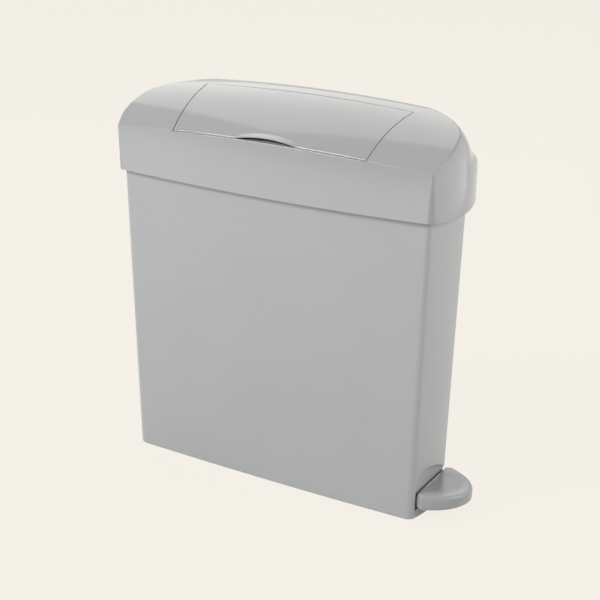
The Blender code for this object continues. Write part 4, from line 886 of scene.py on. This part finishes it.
# Patterns, as repeats in a metre: flow clouds of about 110 mm, patches of shine of about 43 mm, sink waves
# of about 36 mm; and how far the clouds go from the plastic's colour
CLOUD_SCALE = 9.0
SHINE_SCALE = 23.0
SINK_SCALE = 28.0
CLOUD_TONES = (0.985, 1.015)
# The steel's streaks, as repeats in a metre across and along the bar, their two colours, and its roughness
STREAKS = (900, 900, 40)
STEEL_HEXES = ("#A9ABAC", "#C6C8C9")
STEEL_ROUGHNESS = (0.24, 0.38)
# The plastics: colour setting, roughness, grain in metres, depth of the grain, and share of a clear coat
PLASTICS = {
    # ABS from a polished mould: smooth, with clear pale reflections of the lamps
    "hood_abs": ("hood_hex", 0.12, 0.0008, 0.05, 0.15),
    # Polypropylene from a spark-eroded mould: a fine grain and a wide, soft shine
    "tub_polypropylene": ("tub_hex", 0.42, 0.0006, 0.16, 0.0),
    # ABS from a satin mould: softer reflections than the hood's
    "pedal_abs": ("pedal_hex", 0.24, 0.0008, 0.05, 0.1),
    # Plain polypropylene of the inner mouldings: darker and dull
    "inner_polypropylene": ("inner_hex", 0.45, 0.0006, 0.16, 0.0),
}


def connect(node, *links):
    """Links sockets to a node's inputs, each given as (socket, name of the input)."""
    for source, name in links:
        node.id_data.links.new(source, node.inputs[name])


def add_node(owner, kind, links=(), **settings):
    """Adds the shader node of that kind, sets its properties or inputs by name, and connects it."""
    node = owner.node_tree.nodes.new("ShaderNode" + kind)
    for key, value in settings.items():
        if hasattr(node, key):
            setattr(node, key, value)
        else:
            node.inputs[key.replace("_", " ")].default_value = value
    connect(node, *links)
    return node


def new_material(name, **inputs):
    """A material, and its shader with these inputs set."""
    material = bpy.data.materials.new(name)
    material.use_nodes = True
    shader = material.node_tree.nodes["Principled BSDF"]
    for key, value in inputs.items():
        shader.inputs[key.replace("_", " ")].default_value = value
    return material, shader


def moulded_plastic(name, hex_colour, roughness, grain, bump, coat):
    """Injection-moulded plastic: an even colour, a faint cloudiness, and a fine tool texture.

    The grain is a spark-eroded tool's, about 0.3 mm, drawn a little coarser so that it shows."""
    material, shader = new_material(name, IOR=1.5, Coat_Weight=coat, Coat_Roughness=0.08)
    *mean, _ = linear(hex_colour)
    dark, light = ([min(c * tone, 1) for c in mean] + [1.0] for tone in CLOUD_TONES)
    place = [(add_node(material, "TexCoord").outputs["Object"], "Vector")]
    cloud, shine, wave, fine = (
        add_node(material, "TexNoise", place, Scale=scale, Detail=detail).outputs["Fac"]
        for scale, detail in ((CLOUD_SCALE, 3.0), (SHINE_SCALE, 4.0), (SINK_SCALE, 1.0), (1 / grain, 2.0))
    )
    share = add_node(material, "MapRange", [(cloud, "Value")], From_Min=0.3, From_Max=0.7).outputs["Result"]
    tone = add_node(material, "Mix", [(share, "Factor")], data_type="RGBA", A=dark, B=light)
    low, high = roughness * 0.9, roughness * 1.1
    rough = add_node(material, "MapRange", [(shine, "Value")], To_Min=low, To_Max=high)
    sink = add_node(material, "Bump", [(wave, "Height")], Strength=0.10, Distance=0.0004)
    both = [(fine, "Height"), (sink.outputs["Normal"], "Normal")]
    bumped = add_node(material, "Bump", both, Strength=bump, Distance=0.0001)
    connect(shader, (tone.outputs["Result"], "Base Color"), (rough.outputs["Result"], "Roughness"))
    connect(shader, (bumped.outputs["Normal"], "Normal"))
    return material


def drawn_steel(name):
    """Bright drawn steel with a zinc coat: fine lines along the bar and a soft shine."""
    material, shader = new_material(name, Metallic=1.0)
    place = [(add_node(material, "TexCoord").outputs["Object"], "Vector")]
    lines = add_node(material, "Mapping", place, Scale=STREAKS)
    place = [(lines.outputs["Vector"], "Vector")]
    streak = add_node(material, "TexNoise", place, Scale=1.0, Detail=3.0).outputs["Fac"]
    dark, light = (linear(hex_colour) for hex_colour in STEEL_HEXES)
    tone = add_node(material, "Mix", [(streak, "Factor")], data_type="RGBA", A=dark, B=light)
    low, high = STEEL_ROUGHNESS
    rough = add_node(material, "MapRange", [(streak, "Value")], To_Min=low, To_Max=high)
    connect(shader, (tone.outputs["Result"], "Base Color"), (rough.outputs["Result"], "Roughness"))
    return material


def finish(name):
    """The finish of that name, made once."""
    if name in bpy.data.materials:
        return bpy.data.materials[name]
    if name not in PLASTICS:
        return drawn_steel(name)
    setting, *values = PLASTICS[name]
    return moulded_plastic(name, getattr(bpy.context.scene.finish_settings, setting), *values)


def dress(name, *nodes):
    """Gives pieces of the CAD model that stay as they are their finish."""
    for node in nodes:
        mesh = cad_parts[node].data
        mesh.materials.clear()
        mesh.materials.append(finish(name))


# ---- stage

# The lamps: name, place, a point that it faces, its turn in degrees, width and height, and radiance
LAMPS = (
    ("overhead_softbox", (-1.0, 1.58, 2.141), (0.098, 0.485, 0.309), -5.5011, 2.3, 2.3, 1.12),
    ("key", (-3.5, -4.75, 4.5), (0, 0, 0.3), 0, 2.2, 2.2, 20.5),
    ("end_fill", (2.5, -0.1, 2.1), (0, 0, 0.3), 0, 1.2, 1.2, 4.2),
    ("rear_card", (1.18, 0.66, 0.58), (0.24, 0.03, 0.42), 0, 1.7, 1.1, 0.8),
    ("floor_card", (-0.8, -1.37, 0.004), (-0.8, -1.37, 1.0), 0, 2.6, 0.54, 1.65),
)
# The ground's half size, the colour that it gives back as light, and how much of its plain colour is shown
GROUND_HALF = 12.0
GROUND_LIT = "#EEEEED"
GROUND_SHOWN = 0.95
WORLD_LIGHT = 0.21
# The camera: its place, its azimuth, elevation and roll in degrees, and its focal length in pixels
CAMERA_PLACE = (0.90683, -1.53871, 0.92887)
CAMERA_TURN = (30.13, 20.57, 0.88)
CAMERA_FOCUS = 1356.06
PICTURE_WIDTH = 600
SENSOR_WIDTH = 36.0


def shown_rays(owner):
    """A socket that is 1 for camera, glossy and transmission rays, which see the plain background."""
    path = add_node(owner, "LightPath")
    socket = path.outputs["Is Camera Ray"]
    for name in ("Is Glossy Ray", "Is Transmission Ray"):
        more = [(socket, 0), (path.outputs[name], 1)]
        socket = add_node(owner, "Math", more, operation="MAXIMUM").outputs[0]
    return socket


def build_ground(plain):
    """A matt ground that takes the shadow, and shows most of its plain colour to the rays of shown_rays."""
    matt = {"Roughness": 0.9, "Specular_IOR_Level": 0.0}
    ground, shader = new_material("ground", Base_Color=linear(GROUND_LIT), **matt)
    glow = add_node(ground, "Emission", Color=plain)
    share = add_node(ground, "Math", [(shown_rays(ground), 0)], operation="MULTIPLY")
    share.inputs[1].default_value = GROUND_SHOWN
    parts = [(share.outputs[0], "Fac"), (shader.outputs["BSDF"], 1), (glow.outputs["Emission"], 2)]
    mix = add_node(ground, "MixShader", parts)
    connect(ground.node_tree.nodes["Material Output"], (mix.outputs["Shader"], "Surface"))
    corners = GROUND_HALF * np.array([(-1, -1, 0), (1, -1, 0), (1, 1, 0), (-1, 1, 0)])
    mesh = bpy.data.meshes.new("ground")
    mesh.from_pydata(corners, [], [(0, 1, 2, 3)])
    mesh.materials.append(ground)
    floor = new_object("ground", mesh)


def build_world(plain):
    """A dim, even light from all round, which shows the ground's colour to the rays of shown_rays."""
    world = bpy.data.worlds.new("studio")
    world.use_nodes = True
    bpy.context.scene.world = world
    world.node_tree.nodes.clear()
    light = add_node(world, "Background", Color=(1, 1, 1, 1), Strength=WORLD_LIGHT)
    shown = add_node(world, "Background", Color=plain, Strength=1.0)
    parts = [(shown_rays(world), "Fac"), (light.outputs["Background"], 1), (shown.outputs["Background"], 2)]
    mix = add_node(world, "MixShader", parts)
    add_node(world, "OutputWorld", [(mix.outputs["Shader"], "Surface")])


def area_light(name, place, target, turn, width, height, radiance):
    """A soft rectangular lamp aimed at a point. Its power is pi * its area * its radiance."""
    data = bpy.data.lights.new(name, "AREA")
    data.shape = "RECTANGLE"
    data.size, data.size_y = width, height
    data.energy = math.pi * width * height * radiance
    lamp = new_object(name, data)
    aim = (Vector(place) - Vector(target)).to_track_quat("Z", "Y").to_matrix().to_4x4()
    lamp.matrix_world = Matrix.Translation(place) @ aim @ Matrix.Rotation(math.radians(turn), 4, "Z")
    lamp.visible_camera = False


def build_camera():
    """The camera fitted to the photograph, turned by its roll, then its tilt, then its azimuth."""
    data = bpy.data.cameras.new("camera")
    data.sensor_width = SENSOR_WIDTH
    data.lens = SENSOR_WIDTH * CAMERA_FOCUS / PICTURE_WIDTH
    data.clip_start, data.clip_end = 0.05, 60
    camera = new_object("camera", data)
    azimuth, elevation, roll = (math.radians(angle) for angle in CAMERA_TURN)
    tilt = Matrix.Rotation(math.pi / 2 - elevation, 4, "X") @ Matrix.Rotation(roll, 4, "Z")
    camera.matrix_world = Matrix.Translation(CAMERA_PLACE) @ Matrix.Rotation(azimuth, 4, "Z") @ tilt
    bpy.context.scene.camera = camera


# ---- operators


class BuildHood(bpy.types.Operator):
    """Builds the hood's shell and dresses its brackets"""

    bl_idname = "container.build_hood"
    bl_label = "Hood"

    def execute(self, context):
        scene = context.scene
        hood = scene.hood_sizes
        shape = merged(hood_mesh(hood, scene.flap_sizes), flange_mesh(hood, scene.tub_sizes))
        make_piece("hood", shape, "hood", "hood_abs", ["hood_cover"])
        dress("hood_abs", "hinge_bracket_left", "hinge_bracket_right")
        return {"FINISHED"}


class BuildFlap(bpy.types.Operator):
    """Builds the flap's shell and dresses its lugs, tray, crank and pins"""

    bl_idname = "container.build_flap"
    bl_label = "Flap"

    def execute(self, context):
        shape = flap_mesh(context.scene.hood_sizes, context.scene.flap_sizes)
        make_piece("flap", shape, "flap", "hood_abs", ["flap_panel"])
        dress("hood_abs", "flap_lug_left", "flap_lug_right")
        dress("inner_polypropylene", "modesty_tray", "crank_arm")
        dress("drawn_steel", "hinge_pin_left", "hinge_pin_right", "tray_screw_left", "tray_screw_right")
        return {"FINISHED"}


class BuildTub(bpy.types.Operator):
    """Builds the tub's shell and the pedal's bay, and dresses what is inside"""

    bl_idname = "container.build_tub"
    bl_label = "Tub"

    def execute(self, context):
        tub = context.scene.tub_sizes
        make_piece("tub", tub_mesh(tub), "tub", "tub_polypropylene", ["body_shell"])
        make_piece("pedal_bay", bay_mesh(tub), "tub", "tub_polypropylene")
        dress("inner_polypropylene", "duct_panel", "duct_lid", "rod_guide", "bag_frame")
        dress("inner_polypropylene", "pin_keeper_front", "pin_keeper_rear", "rod_shoe", "rod_cap")
        dress("drawn_steel", "push_rod", "pedal_pin", "guide_screw_low", "guide_screw_high")
        return {"FINISHED"}


class BuildPedal(bpy.types.Operator):
    """Builds the pedal's tread, neck and hub, and dresses its arm"""

    bl_idname = "container.build_pedal"
    bl_label = "Pedal"

    def execute(self, context):
        pedal = context.scene.pedal_sizes
        shape = merged(pedal_mesh(pedal), neck_and_hub(pedal))
        make_piece("pedal", shape, "pedal", "pedal_abs", ["pedal_tread"])
        dress("drawn_steel", "pedal_arm", "arm_screw_inner", "arm_screw_outer")
        return {"FINISHED"}


class BuildStage(bpy.types.Operator):
    """Sets the ground, the lights and the camera"""

    bl_idname = "container.build_stage"
    bl_label = "Stage"

    def execute(self, context):
        plain = linear(context.scene.finish_settings.ground_hex)
        build_ground(plain)
        build_world(plain)
        for lamp in LAMPS:
            area_light(*lamp)
        build_camera()
        context.scene.view_settings.view_transform = "Standard"
        return {"FINISHED"}


class ContainerPanel(bpy.types.Panel):
    """Lists the container's pieces in the sidebar"""

    bl_idname = "VIEW3D_PT_container"
    bl_label = "Sanitary container"
    bl_space_type = "VIEW_3D"
    bl_region_type = "UI"
    bl_category = "Container"

    def draw(self, context):
        for operator in OPERATORS:
            self.layout.operator(operator.bl_idname)


GROUPS = {
    "hood_sizes": HoodSizes,
    "flap_sizes": FlapSizes,
    "tub_sizes": TubSizes,
    "pedal_sizes": PedalSizes,
    "finish_settings": FinishSettings,
}
OPERATORS = (BuildStage, BuildHood, BuildFlap, BuildTub, BuildPedal)


def register():
    """Makes the settings, operators and panel known to Blender."""
    for name, group in GROUPS.items():
        bpy.utils.register_class(group)
        setattr(bpy.types.Scene, name, bpy.props.PointerProperty(type=group))
    for operator in OPERATORS:
        bpy.utils.register_class(operator)
    bpy.utils.register_class(ContainerPanel)


def unregister():
    """Undoes register, in the reverse order."""
    bpy.utils.unregister_class(ContainerPanel)
    for operator in reversed(OPERATORS):
        bpy.utils.unregister_class(operator)
    for name, group in reversed(GROUPS.items()):
        delattr(bpy.types.Scene, name)
        bpy.utils.unregister_class(group)


def main():
    """Registers the add-on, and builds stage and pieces."""
    register()
    bpy.ops.container.build_stage()
    bpy.ops.container.build_hood()
    bpy.ops.container.build_flap()
    bpy.ops.container.build_tub()
    bpy.ops.container.build_pedal()


if __name__ == "__main__":
    main()
